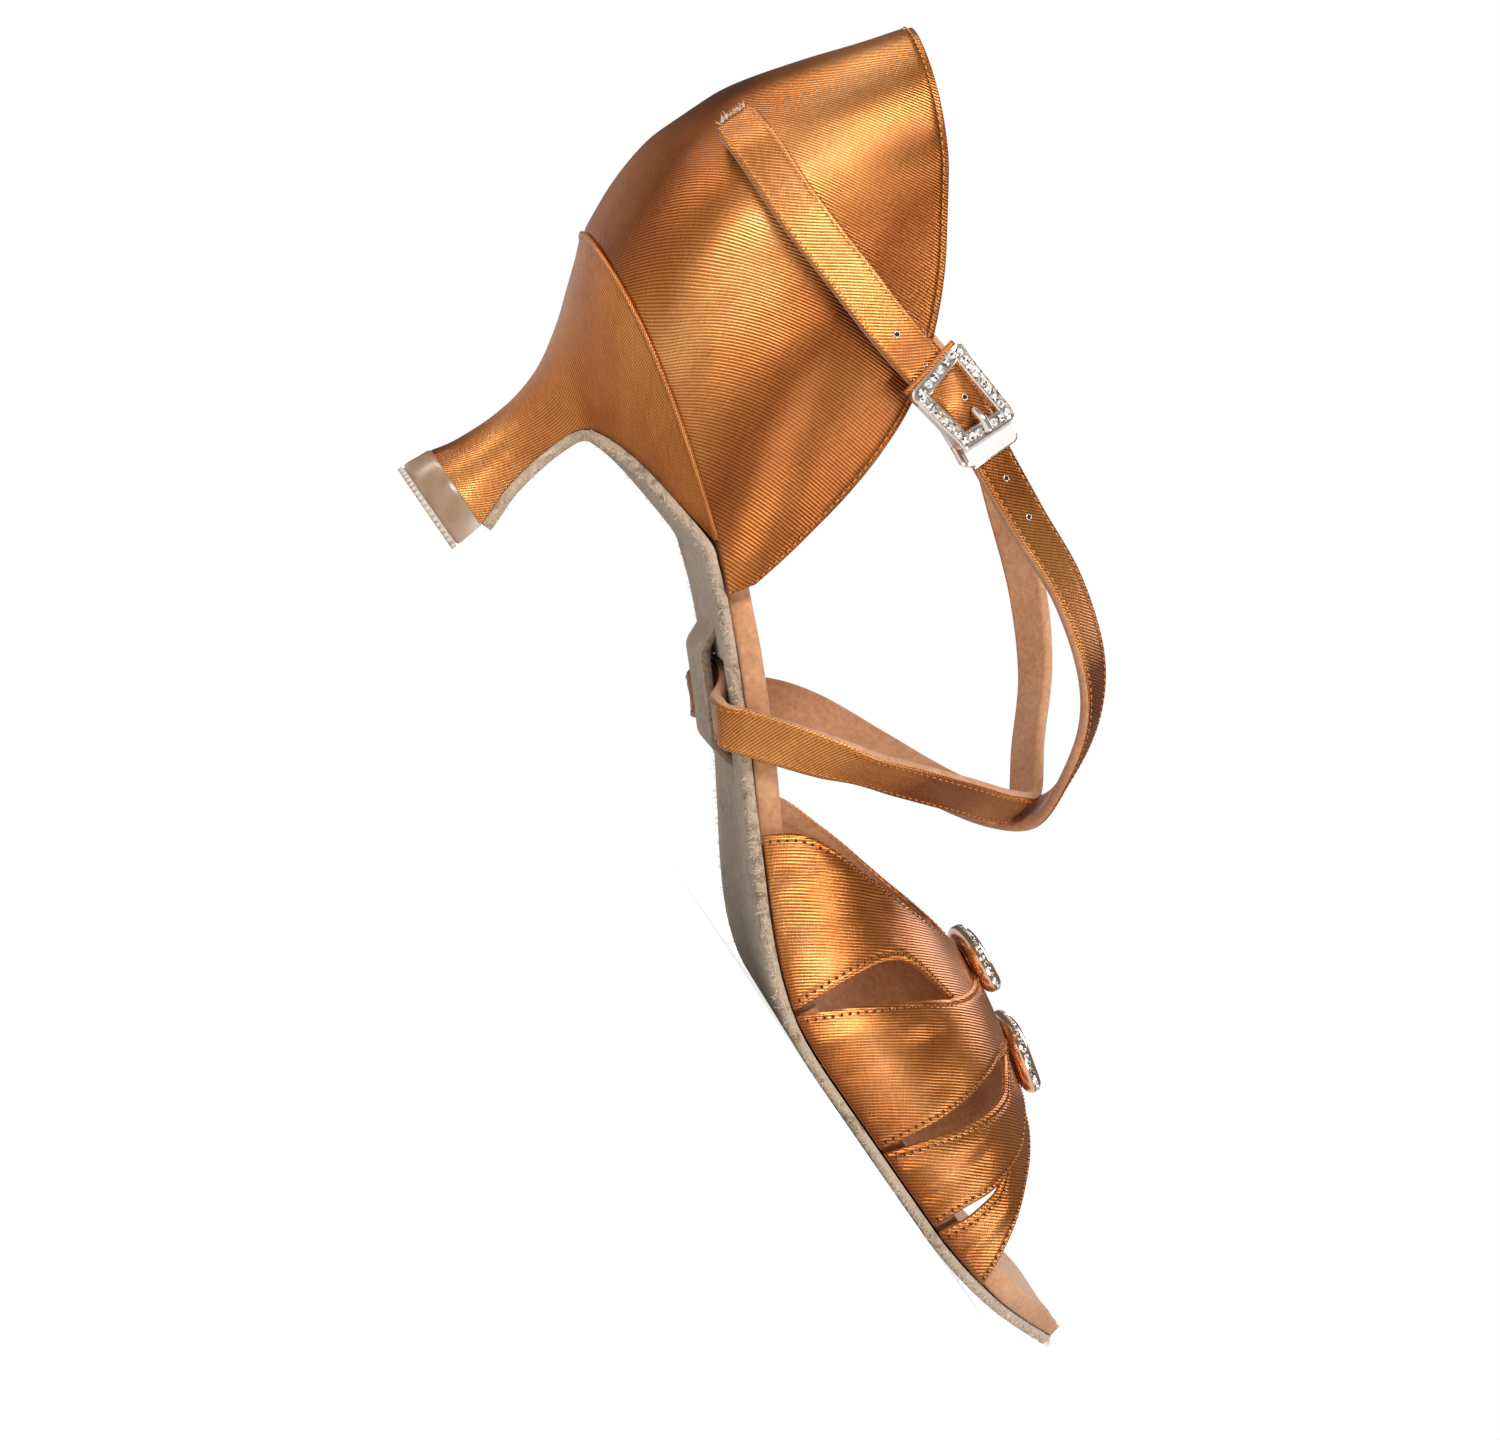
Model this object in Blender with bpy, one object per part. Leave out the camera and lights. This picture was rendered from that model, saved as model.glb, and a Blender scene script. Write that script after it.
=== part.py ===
"""Latin dance shoe for the right foot: satin upper, crossed arch strap, suede sole and a flared heel.

Metres, +Z up, +X towards the toe, +Y towards the inner side of the foot. The floor is at Z = 0 and the
origin is the point where the forefoot treads on it. The shoe stands unbent on its heel and forefoot.
"""

import math

import bmesh
import bpy
import numpy as np
from mathutils import Vector

# Driving sizes

SOLE_LENGTH = 0.223
BALL_WIDTH = 0.077
SEAT_RISE = 0.0483
COUNTER_HEIGHT = 0.0697
VAMP_HEIGHT = 0.033
HEEL_LENGTH = 0.0555
GAP = 0.0003

SOLE_THICK = 0.002
INSOLE_THICK = 0.0042
DISH = 0.12
QUARTER_WALL = 0.0018
VAMP_WALL = 0.0016
CAP_HEIGHT = 0.0065
TOP_PIECE_THICK = 0.001

STRAP_WIDTH = 0.008
STRAP_THICK = 0.002
TUNNEL_HALF_WIDTH = 0.012
SLIT_WIDTH = 0.0055

BUCKLE_LONG = 0.015
BUCKLE_TALL = 0.013
BUCKLE_BAR = 0.0026
BUCKLE_DEEP = 0.002
HOOK_PLATE_THICK = 0.0008
HOOK_PLATE_TALL = 0.0095
HOOK_REACH = 0.0035
LOOP_THICK = 0.001
PRONG_RADIUS = 0.0007
LOOP_LONG = 0.008
LOOP_WIDTH = 0.0064
HOOK_REAR = 0.004

LINK_RADIUS = 0.0016
LINK_HALF_WIDTH = 0.0085
REAR_LINK_HALF = 0.0042
FRONT_LINK_HALF = 0.0055

# Half the tunnel's length along the shank, and how far the window cutters reach past the vamp's wall
TUNNEL_LONG = 0.0072
WINDOW_REACH = 0.002

# Places as shares of the sole's length, and the vamp's ridge as a share of the ball's width
WING_CLEARANCE = 0.015
REAR_LINK_ALONG = 0.677
FRONT_LINK_ALONG = 0.762
RIDGE = 0.05

# Share of the sole's length from its back end to the point where the forefoot treads
TREAD = 0.722

# Outline of the last: half widths as shares of the ball's width, from the seat's full width to the toe
OUTLINE = [
    # along, lateral, medial
    (0.108, 0.331, 0.331),
    (0.161, 0.338, 0.338),
    (0.229, 0.331, 0.327),
    (0.296, 0.307, 0.292),
    (0.363, 0.299, 0.262),
    (0.430, 0.328, 0.273),
    (0.498, 0.396, 0.345),
    (0.565, 0.466, 0.436),
    (0.619, 0.497, 0.490),
    (0.700, 0.494, 0.526),
    (0.767, 0.448, 0.521),
    (0.834, 0.368, 0.490),
    (0.901, 0.240, 0.425),
    (0.946, 0.105, 0.345),
    (0.978, -0.010, 0.270),
    (0.994, -0.072, 0.208),
    (1.000, -0.125, 0.155),
]

# Feather line, where upper and insole meet heel and sole: its height as a share of the seat's rise
FEATHER = [
    # along, rise
    (0.000, 1.000),
    (0.072, 0.959),
    (0.139, 0.897),
    (0.206, 0.814),
    (0.274, 0.710),
    (0.341, 0.576),
    (0.408, 0.421),
    (0.475, 0.250),
    (0.520, 0.137),
    (0.556, 0.062),
    (0.592, 0.014),
    (0.630, 0.000),
    (0.812, 0.000),
    (0.879, 0.028),
    (0.946, 0.085),
    (1.000, 0.140),
]

# Heel cup: how far its back stands out behind the seat and how wide it is, by height
COUNTER = [
    # lift, behind as a share of the counter's height, width as a share of the seat's
    (0.00, 0.000, 1.000),
    (0.13, 0.062, 1.055),
    (0.29, 0.106, 1.090),
    (0.48, 0.106, 1.090),
    (0.70, 0.056, 1.030),
    (0.87, 0.004, 0.930),
    (1.00, -0.030, 0.840),
]

# Topline of the quarter, from the back peak to the front corner at the waist
TOPLINE = [
    # around, lift
    (0.000, 1.000),
    (0.100, 0.985),
    (0.196, 0.962),
    (0.307, 0.924),
    (0.400, 0.885),
    (0.527, 0.826),
    (0.654, 0.765),
    (0.745, 0.705),
    (0.868, 0.585),
    (0.915, 0.490),
    (0.950, 0.376),
    (0.975, 0.248),
    (0.990, 0.155),
    (1.000, 0.075),
]
ARC_SHARE = 0.4
QUARTER_FRONT = 0.296
SEAT_ARC = 0.108

# Heel sections from the cap up: the back point, the breast point and the half width of each
HEEL = [
    # back, back_up, breast, breast_up, width, arc
    (0.298, 0.135, 0.572, 0.135, 0.361, 0.62),
    (0.312, 0.205, 0.548, 0.205, 0.350, 0.62),
    (0.318, 0.290, 0.520, 0.290, 0.341, 0.62),
    (0.318, 0.385, 0.500, 0.415, 0.337, 0.62),
    (0.304, 0.500, 0.493, 0.535, 0.361, 0.60),
    (0.264, 0.625, 0.507, 0.620, 0.440, 0.58),
    (0.185, 0.760, 0.580, 0.672, 0.600, 0.54),
    (0.114, 0.855, 0.696, 0.709, 0.765, 0.50),
    (0.050, 0.940, 0.839, 0.731, 0.905, 0.46),
]

# Height of the vamp's arch over the feather line, as a share of the vamp's height
ARCH = [
    # along, height
    (0.45, 0.90),
    (0.55, 0.97),
    (0.63, 1.00),
    (0.70, 0.96),
    (0.77, 0.86),
    (0.84, 0.74),
    (0.90, 0.64),
]

# Edges of the vamp by height around its arch: 0 at the sole, 1 at the top
THROAT_EDGE = [
    # around, along
    (0.00, 0.459),
    (0.14, 0.475),
    (0.27, 0.498),
    (0.43, 0.534),
    (0.60, 0.574),
    (0.75, 0.612),
    (0.87, 0.640),
    (1.00, 0.656),
]
TOE_EDGE = [
    # around, along
    (0.00, 0.874),
    (0.20, 0.856),
    (0.40, 0.837),
    (0.60, 0.822),
    (0.80, 0.810),
    (1.00, 0.803),
]

# Windows between the vamp's bands: their rear and front edges by height around the arch
REAR_WINDOW = [
    # around, rear, front
    (0.020, 0.5805, 0.5835),
    (0.150, 0.5830, 0.6010),
    (0.280, 0.5910, 0.6190),
    (0.400, 0.6090, 0.6360),
    (0.480, 0.6330, 0.6490),
    (0.520, 0.6500, 0.6555),
]
FRONT_WINDOW = [
    # around, rear, front
    (0.030, 0.7120, 0.7160),
    (0.130, 0.7180, 0.7270),
    (0.280, 0.7240, 0.7400),
    (0.450, 0.7270, 0.7500),
    (0.640, 0.7280, 0.7530),
    (0.690, 0.7370, 0.7460),
]
TOE_SLIT = [
    # around, rear, front
    (0.030, 0.7960, 0.8040),
    (0.150, 0.7990, 0.8090),
    (0.290, 0.8050, 0.8110),
]

# Line inside the foot from which the strap faces outwards
FOOT_AXIS = [
    # along, lift
    (0.036, 0.495),
    (0.296, 0.551),
    (0.484, 0.605),
]

# The strap's route: on the medial quarter, over the instep, under the shank, over again, to the lateral quarter
STRAP_START = [
    # around, lift
    (0.630, 0.660),
    (0.720, 0.720),
]
STRAP_OVER_FIRST = [
    # along, across, lift
    (0.287, 0.372, 0.860),
    (0.341, 0.374, 0.935),
    (0.399, 0.355, 0.968),
    (0.462, 0.312, 1.000),
    (0.518, 0.234, 0.985),
    (0.558, 0.115, 0.900),
    (0.587, 0.000, 0.820),
    (0.571, -0.090, 0.740),
    (0.540, -0.170, 0.630),
    (0.493, -0.265, 0.440),
    (0.444, -0.352, 0.235),
]
STRAP_OVER_SECOND = [
    # along, across, lift
    (0.412, 0.312, 0.150),
    (0.448, 0.318, 0.300),
    (0.500, 0.270, 0.475),
    (0.552, 0.172, 0.640),
    (0.588, 0.085, 0.760),
    (0.601, -0.004, 0.850),
    (0.579, -0.130, 0.933),
    (0.543, -0.234, 1.005),
    (0.498, -0.312, 1.005),
    (0.435, -0.360, 0.937),
    (0.372, -0.378, 0.836),
    (0.323, -0.385, 0.769),
    (0.262, -0.387, 0.700),
]
STRAP_END = [
    # around, lift
    (0.800, 0.630),
    (0.700, 0.575),
    (0.560, 0.520),
    (0.400, 0.468),
    (0.270, 0.450),
    (0.200, 0.444),
]
TUNNEL_ALONG = 0.359
TUNNEL_SLANT = 0.020

SATIN = (0.52, 0.22, 0.065, 1.0)
SUEDE = (0.44, 0.36, 0.28, 1.0)
MICROFIBRE = (0.58, 0.31, 0.16, 1.0)
CLEAR_CAP = (0.36, 0.25, 0.17, 1.0)
RUBBER = (0.30, 0.22, 0.15, 1.0)
METAL = (0.80, 0.66, 0.56, 1.0)


# Reading the tables

def column(table, index):
    """One column of a table as an array."""
    return np.array([row[index] for row in table])


def read(table, at, index, by=0):
    """A table's column at a place in another, on a smooth curve through its rows."""
    places = column(table, by)
    values = column(table, index)
    slopes = np.gradient(values, places)
    at = min(max(at, places[0]), places[-1])
    k = min(int(np.searchsorted(places, at, side="right")) - 1, len(places) - 2)
    k = max(k, 0)
    span = places[k + 1] - places[k]
    t = (at - places[k]) / span
    rise = values[k + 1] - values[k]
    first = limited(slopes[k], rise / span) * span
    last = limited(slopes[k + 1], rise / span) * span
    return (
        values[k]
        + t * first
        + t * t * (3 * rise - 2 * first - last)
        + t * t * t * (first + last - 2 * rise)
    )


def limited(slope, chord):
    """A slope held to what keeps the curve from overshooting its rows."""
    if slope * chord <= 0:
        return 0.0
    return math.copysign(min(abs(slope), 3 * abs(chord)), slope)


def smooth_path(points, count):
    """Evenly spread rows on a Catmull-Rom curve through rows of numbers."""
    rows = np.array(points, float)
    rows = np.vstack([2 * rows[0] - rows[1], rows, 2 * rows[-1] - rows[-2]])
    dense = []
    steps = 24
    for k in range(1, len(rows) - 2):
        a, b, c, d = rows[k - 1], rows[k], rows[k + 1], rows[k + 2]
        for t in np.arange(steps) / steps:
            dense.append(0.5 * (
                2 * b + (c - a) * t + (2 * a - 5 * b + 4 * c - d) * t * t
                + (3 * b - a - 3 * c + d) * t ** 3
            ))
    dense.append(rows[-2])
    dense = np.array(dense)
    far = np.concatenate([[0], np.cumsum(np.linalg.norm(np.diff(dense[:, :3], axis=0), axis=1))])
    even = np.linspace(0, far[-1], count)
    return np.array([[np.interp(s, far, dense[:, i]) for i in range(dense.shape[1])] for s in even])


# The last

def x_of(along):
    """X of a share of the sole's length."""
    return (along - TREAD) * SOLE_LENGTH


def feather(along):
    """Height of the feather line."""
    return SOLE_THICK + GAP / 2 + read(FEATHER, along, 1) * SEAT_RISE


def outline(along, side):
    """Half width of the last at the feather line, towards one side: -1 lateral, 1 medial."""
    index = 1 if side < 0 else 2
    if along < SEAT_ARC:
        back = 1 - max(along, 0.0) / SEAT_ARC
        return OUTLINE[0][index] * BALL_WIDTH * math.sqrt(max(1 - back * back, 0.0))
    return read(OUTLINE, along, index) * BALL_WIDTH


def feather_normal(along):
    """Unit normal of the feather line in X and Z, downwards."""
    step = 0.002
    run = 2 * step * SOLE_LENGTH
    fall = feather(along + step) - feather(along - step)
    size = math.hypot(run, fall)
    return np.array([fall / size, 0.0, -run / size])


# Mesh tools

def new_object(name, points, faces, material):
    """An object from points and faces, with its faces turned outwards."""
    mesh = bpy.data.meshes.new(name)
    mesh.from_pydata([tuple(p) for p in points], [], faces)
    body = bmesh.new()
    body.from_mesh(mesh)
    bmesh.ops.recalc_face_normals(body, faces=body.faces)
    if body.calc_volume(signed=True) < 0:
        bmesh.ops.reverse_faces(body, faces=body.faces)
    body.to_mesh(mesh)
    body.free()
    made = bpy.data.objects.new(name, mesh)
    if material is None:
        cutters.objects.link(made)
        made.hide_render = True
        made.display_type = "WIRE"
    else:
        mesh.materials.append(material)
        shoe.objects.link(made)
        mesh.shade_smooth()
        mesh.set_sharp_from_angle(angle=math.radians(40))
    return made


def sheet_body(name, outer, inner, material):
    """A closed wall between two grids of points of the same size."""
    rows, columns = len(outer), len(outer[0])
    points = [p for grid in (outer, inner) for row in grid for p in row]

    def at(skin, r, c):
        return skin * rows * columns + r * columns + c

    faces = []
    for r in range(rows - 1):
        for c in range(columns - 1):
            faces.append((at(0, r, c), at(0, r, c + 1), at(0, r + 1, c + 1), at(0, r + 1, c)))
            faces.append((at(1, r, c), at(1, r + 1, c), at(1, r + 1, c + 1), at(1, r, c + 1)))
    for c in range(columns - 1):
        faces.append((at(0, 0, c), at(1, 0, c), at(1, 0, c + 1), at(0, 0, c + 1)))
        end = rows - 1
        faces.append((at(0, end, c), at(0, end, c + 1), at(1, end, c + 1), at(1, end, c)))
    for r in range(rows - 1):
        faces.append((at(0, r, 0), at(0, r + 1, 0), at(1, r + 1, 0), at(1, r, 0)))
        end = columns - 1
        faces.append((at(0, r, end), at(1, r, end), at(1, r + 1, end), at(0, r + 1, end)))
    return new_object(name, points, faces, material)


def ring_loft(name, rings, material):
    """A solid through rings that run from a back point along one side and home along the other."""
    count = len(rings[0])
    half = (count - 1) // 2
    points = [p for ring in rings for p in ring]
    faces = []
    for k in range(len(rings) - 1):
        for i in range(count):
            j = (i + 1) % count
            faces.append((k * count + i, k * count + j, (k + 1) * count + j, (k + 1) * count + i))
    for k in (0, len(rings) - 1):
        start = k * count
        faces.append((start, start + 1, start + count - 1))
        for i in range(1, half):
            faces.append((start + i, start + i + 1, start + count - i - 1, start + count - i))
    return new_object(name, points, faces, material)


def box_body(name, centre, along, across, facing, size, material):
    """A box with its own axes, its size given along, across and facing."""
    points = []
    for a in (-0.5, 0.5):
        for b in (-0.5, 0.5):
            for c in (-0.5, 0.5):
                points.append(centre + along * a * size[0] + across * b * size[1] + facing * c * size[2])
    faces = [(0, 1, 3, 2), (4, 6, 7, 5), (0, 4, 5, 1), (2, 3, 7, 6), (0, 2, 6, 4), (1, 5, 7, 3)]
    return new_object(name, points, faces, material)


def combine(target, other, operation):
    """An exact Boolean, applied at once."""
    change = target.modifiers.new(operation.title(), "BOOLEAN")
    change.operation = operation
    change.object = other
    change.solver = "EXACT"
    shape = bpy.data.meshes.new_from_object(target.evaluated_get(bpy.context.evaluated_depsgraph_get()))
    target.modifiers.remove(change)
    target.data = shape


def finish(name, colour, roughness, metallic=0.0):
    """A plain material."""
    material = bpy.data.materials.new(name)
    material.use_nodes = True
    shader = material.node_tree.nodes["Principled BSDF"]
    shader.inputs["Base Color"].default_value = colour
    shader.inputs["Roughness"].default_value = roughness
    shader.inputs["Metallic"].default_value = metallic
    material.diffuse_color = colour
    return material


# Sole and insole

def eased(share):
    """A smooth rise from 0 to 1."""
    share = min(max(share, 0.0), 1.0)
    return share * share * (3 - 2 * share)


def end_spread(count):
    """Shares from 0 to 1, closer together near both ends."""
    return [(1 - math.cos(math.pi * k / (count - 1))) / 2 for k in range(count)]


def breast_path():
    """The heel's breast from its wing tips down to the cap, in X and Z, with the half width there."""
    rows = []
    for back, back_up, breast, breast_up, width, arc in reversed(heel_sections()):
        rows.append((heel_x(breast), 0.0, heel_z(breast_up), heel_half(width, 1.0, arc)))
    rows[-1] = (rows[-1][0], 0.0, rows[-1][2] + GAP, rows[-1][3])
    return rows


def sole_stations():
    """The top face of the suede from toe to heel cap: X, Z, half widths and the way down from it."""
    stations = []
    wing = HEEL_LENGTH / SOLE_LENGTH + WING_CLEARANCE
    for share in end_spread(34):
        along = 1 - share * (1 - wing)
        drop = feather_normal(along)
        top = np.array([x_of(along), 0.0, feather(along)]) + drop * GAP / 2
        stations.append((top, outline(along, -1), outline(along, 1), drop))
    rows = [(stations[-1][0][0], 0.0, stations[-1][0][2], outline(wing, 1))] + breast_path()
    path = smooth_path(rows, 16)
    for k in range(1, len(path)):
        before, after = path[k - 1], path[min(k + 1, len(path) - 1)]
        run = Vector((after[0] - before[0], 0.0, after[2] - before[2])).normalized()
        out = np.array([-run.z, 0.0, run.x])
        top = np.array([path[k][0], 0.0, path[k][2]]) + out * 2 * GAP
        stations.append((top, path[k][3], path[k][3], out))
    return stations


def tunnel_depth(along):
    """How far the tunnel's band stands off the shank."""
    reach = TUNNEL_LONG / SOLE_LENGTH
    ramp = 0.7 * reach
    away = abs(along - TUNNEL_ALONG - TUNNEL_SLANT / 2)
    return (STRAP_THICK + 5 * GAP) * eased((reach + ramp - away) / ramp)


def make_outsole():
    """The suede sheet, with its tunnel band between two slits."""
    across = np.linspace(0, 1, 9)
    top, bottom = [], []
    for place, lateral, medial, drop in sole_stations():
        row = [place + np.array([0, -lateral + s * (lateral + medial), 0]) for s in across]
        top.append(row)
        bottom.append([p + drop * SOLE_THICK for p in row])
    sole = sheet_body("outsole_suede", bottom, top, suede)
    inside = TUNNEL_HALF_WIDTH + SLIT_WIDTH
    middle = TUNNEL_ALONG + TUNNEL_SLANT / 2
    drop = feather_normal(middle)
    run = np.array([-drop[2], 0.0, drop[0]])
    centre = np.array([x_of(middle), 0.0, feather(middle)])
    window = box_body(
        "slit_cutter", centre, run, np.array([0, 1.0, 0]), drop, (2 * TUNNEL_LONG, 2 * inside, 0.012), None
    )
    combine(sole, window, "DIFFERENCE")
    reach = 1.75 * TUNNEL_LONG / SOLE_LENGTH
    top, bottom = [], []
    for along in np.linspace(middle - reach, middle + reach, 15):
        drop = feather_normal(along)
        depth = tunnel_depth(along) + GAP / 2
        place = np.array([x_of(along), 0.0, feather(along)]) + drop * depth
        row = [place + np.array([0, s * TUNNEL_HALF_WIDTH, 0]) for s in (-1, -0.5, 0, 0.5, 1)]
        top.append([p + drop * 0.02 * GAP for p in row])
        bottom.append([p + drop * SOLE_THICK * 0.98 for p in row])
    band = sheet_body("tunnel_cutter", bottom, top, None)
    combine(sole, band, "UNION")
    return sole


def insole_inset(along):
    """How far the insole stays inside the last's outline: behind the upper's wall, or flush where it shows."""
    behind_quarter = 1 - eased((along - QUARTER_FRONT - 0.004) / 0.03)
    behind_vamp = eased((along - THROAT_EDGE[0][1] + 0.034) / 0.03) * (1 - eased((along - TOE_EDGE[0][1]) / 0.03))
    wall = max(QUARTER_WALL, VAMP_WALL) + 3 * GAP
    return wall * max(behind_quarter, behind_vamp) + GAP


def insole_half(along, side):
    """Half width of the insole, inside the heel cup's wall at the back."""
    inset = insole_inset(along)
    if along >= SEAT_ARC:
        return outline(along, side) - min(inset, 0.4 * (outline(along, -1) + outline(along, 1)))
    radius = SEAT_ARC * SOLE_LENGTH
    away = (SEAT_ARC - along) * SOLE_LENGTH / (radius - inset)
    return (outline(SEAT_ARC, side) - inset) * math.sqrt(max(1 - away * away, 0.0))


def make_insole():
    """The padded insole board, a little dished across."""
    across = np.linspace(0, 1, 9)
    top, bottom = [], []
    start = 1.05 * insole_inset(0.0) / SOLE_LENGTH
    for share in end_spread(34):
        along = start + share * (0.9995 - start)
        low = -insole_half(along, -1)
        high = insole_half(along, 1)
        up = -feather_normal(along)
        place = np.array([x_of(along), 0.0, feather(along)]) + up * GAP / 2
        row = [place + np.array([0, low + s * (high - low), 0]) for s in across]
        bottom.append(row)
        top.append([p + up * INSOLE_THICK * (1 - DISH * 4 * s * (1 - s)) for p, s in zip(row, across)])
    return sheet_body("insole", top, bottom, microfibre)


# Heel

def heel_sections():
    """The heel's sections, read off a smooth curve through its table."""
    return [list(row) for row in smooth_path(HEEL, 15)]


def heel_x(share):
    """X of a share of the heel's length, from the seat's back end."""
    return x_of(0.0) + share * HEEL_LENGTH


def heel_z(share):
    """Height of a share of the seat's height."""
    return share * feather(0.0)


def heel_half(width, share, arc):
    """Half width of a heel section at a share of its length from the back."""
    full = width * OUTLINE[0][1] * BALL_WIDTH
    if share < arc:
        return full * math.sqrt(1 - (1 - share / arc) ** 2)
    return full * (1 - 0.06 * ((share - arc) / (1 - arc)) ** 2)


def heel_ring(back, breast, halves):
    """One ring of the heel between its back and breast points, through the given half widths."""
    shares = [0.03, 0.1, 0.2, 0.32, 0.45, 0.6, 0.8, 1.0]
    lateral, medial = [], []
    for share in shares:
        place = back + (breast - back) * share
        lateral.append(place - np.array([0, halves(share), 0]))
        medial.append(place + np.array([0, halves(share), 0]))
    return [back] + lateral + medial[::-1]


def make_heel():
    """The flared heel, from its cap to the seat."""
    rings = []
    for back, back_up, breast, breast_up, width, arc in heel_sections():
        low = np.array([heel_x(back), 0.0, heel_z(back_up)])
        high = np.array([heel_x(breast), 0.0, heel_z(breast_up)])
        rings.append(heel_ring(low, high, lambda share, w=width, a=arc: heel_half(w, share, a)))
    wing = HEEL_LENGTH / SOLE_LENGTH
    seat = heel_ring(
        np.array([x_of(0.0), 0.0, 0.0]),
        np.array([x_of(wing), 0.0, 0.0]),
        lambda share: outline(max(share * wing, 0.0), -1),
    )
    for p in seat:
        along = p[0] / SOLE_LENGTH + TREAD
        p[2] = feather(along) - GAP / 2
    rings.append(seat)
    return ring_loft("heel", rings, satin)


def make_cap(name, low, high, flare, material):
    """A slice of the heel's foot: the clear cap, or the rubber under it."""
    back, _, breast, _, width, arc = HEEL[0]
    rings = []
    for z, share in ((low, flare[0]), (high, flare[1])):
        rear = np.array([heel_x(back) - share, 0.0, z])
        front = np.array([heel_x(breast) + share, 0.0, z])
        rings.append(heel_ring(rear, front, lambda s, e=share: heel_half(width, s, arc) + e * min(s / arc, 1)))
    return ring_loft(name, rings, material)


# Quarter

def quarter_point(around, lift, side):
    """A point of the heel cup's outer face: around from its back, lift over the feather line."""
    behind = read(COUNTER, lift, 1) * COUNTER_HEIGHT
    wide = read(COUNTER, lift, 2)
    back = x_of(0.0) - behind
    arc_end = back + SEAT_ARC * SOLE_LENGTH
    if around < ARC_SHARE:
        turn = around / ARC_SHARE * math.pi / 2
        x = arc_end - SEAT_ARC * SOLE_LENGTH * math.cos(turn)
        half = outline(SEAT_ARC, side) * wide * math.sin(turn)
    else:
        straight = (around - ARC_SHARE) / (1 - ARC_SHARE)
        x = arc_end + (x_of(QUARTER_FRONT) - arc_end) * straight
        along = max(x / SOLE_LENGTH + TREAD, SEAT_ARC)
        half = outline(along, side) * (1 + (wide - 1) * (1 - 0.35 * straight))
    along = x / SOLE_LENGTH + TREAD
    return np.array([x, side * half, feather(along) + GAP / 2 + lift * COUNTER_HEIGHT])


def quarter_normal(around, lift, side):
    """Unit normal of the heel cup, outwards."""
    if around < 0.002:
        slope = quarter_point(0.0, lift + 0.01, 1) - quarter_point(0.0, max(lift - 0.01, 0), 1)
        out = np.array([-slope[2], 0.0, slope[0]])
        return out / np.linalg.norm(out)
    a = quarter_point(min(around + 0.004, 1.0), lift, side) - quarter_point(max(around - 0.004, 0.0), lift, side)
    b = quarter_point(around, lift + 0.01, side) - quarter_point(around, max(lift - 0.01, 0), side)
    out = np.cross(a, b) * -side
    return out / np.linalg.norm(out)


def make_quarter():
    """The heel cup: one wall from the feather line to the topline."""
    stations = 1 - np.linspace(1, 0, 17) ** 1.25
    sides = [(-1, s) for s in stations[::-1]] + [(1, s) for s in stations[1:]]
    outer, inner = [], []
    for side, share in sides:
        crest = topline_row(share)
        columns_out, columns_in = [], []
        for step in np.linspace(0, 1, 10):
            around = share * 0.985 + (crest[0] - share * 0.985) * step
            lift = crest[1] * step
            point = quarter_point(around, lift, side)
            normal = quarter_normal(around, lift, side)
            normal = normal * np.array([1, 1, 0 if step == 0 else 1])
            normal = normal / np.linalg.norm(normal)
            columns_out.append(point)
            columns_in.append(point - normal * QUARTER_WALL)
        outer.append(columns_out)
        inner.append(columns_in)
    return sheet_body("quarter", outer, inner, satin)


def topline_row(share):
    """Around and lift of the topline at a share of its own length."""
    rows = [(a, b) for a, b in TOPLINE]
    far = [0.0]
    for (a, b), (c, d) in zip(rows, rows[1:]):
        far.append(far[-1] + math.hypot((c - a) * 0.9, d - b))
    at = share * far[-1]
    table = [(f, a, b) for f, (a, b) in zip(far, rows)]
    return read(table, at, 1), read(table, at, 2)


# Vamp

def vamp_point(along, around, side):
    """A point of the vamp's outer face: around from 0 at the sole to 1 at the top."""
    turn = around * math.pi / 2
    ridge = RIDGE * BALL_WIDTH
    half = outline(along, side)
    y = ridge + (side * half - ridge) * math.cos(turn) ** 0.85
    z = feather(along) + GAP / 2 + read(ARCH, along, 1) * VAMP_HEIGHT * math.sin(turn) ** 0.9
    return np.array([x_of(along), y, z])


def vamp_normal(along, around, side):
    """Unit normal of the vamp, outwards."""
    step = 0.004
    a = vamp_point(along + step, around, side) - vamp_point(along - step, around, side)
    b = vamp_point(along, min(around + step, 1.0), side) - vamp_point(along, max(around - step, 0.0), side)
    if around > 0.97:
        b = np.array([0.0, -side, 0.0])
    out = np.cross(a, b) * -side
    if around == 0:
        out[2] = 0
    return out / np.linalg.norm(out)


def vamp_wall(along, around, side, depth):
    """A point below or over the vamp's outer face."""
    return vamp_point(along, around, side) + vamp_normal(along, around, side) * depth


def window_cutter(name, window, side):
    """A plug through the vamp's wall over one window."""
    outer, inner = [], []
    for around in np.linspace(window[0][0], window[-1][0], 10):
        places = np.linspace(read(window, around, 1), read(window, around, 2), 4)
        outer.append([vamp_wall(a, around, side, WINDOW_REACH) for a in places])
        inner.append([vamp_wall(a, around, side, -VAMP_WALL - WINDOW_REACH) for a in places])
    return sheet_body(name, outer, inner, None)


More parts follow.
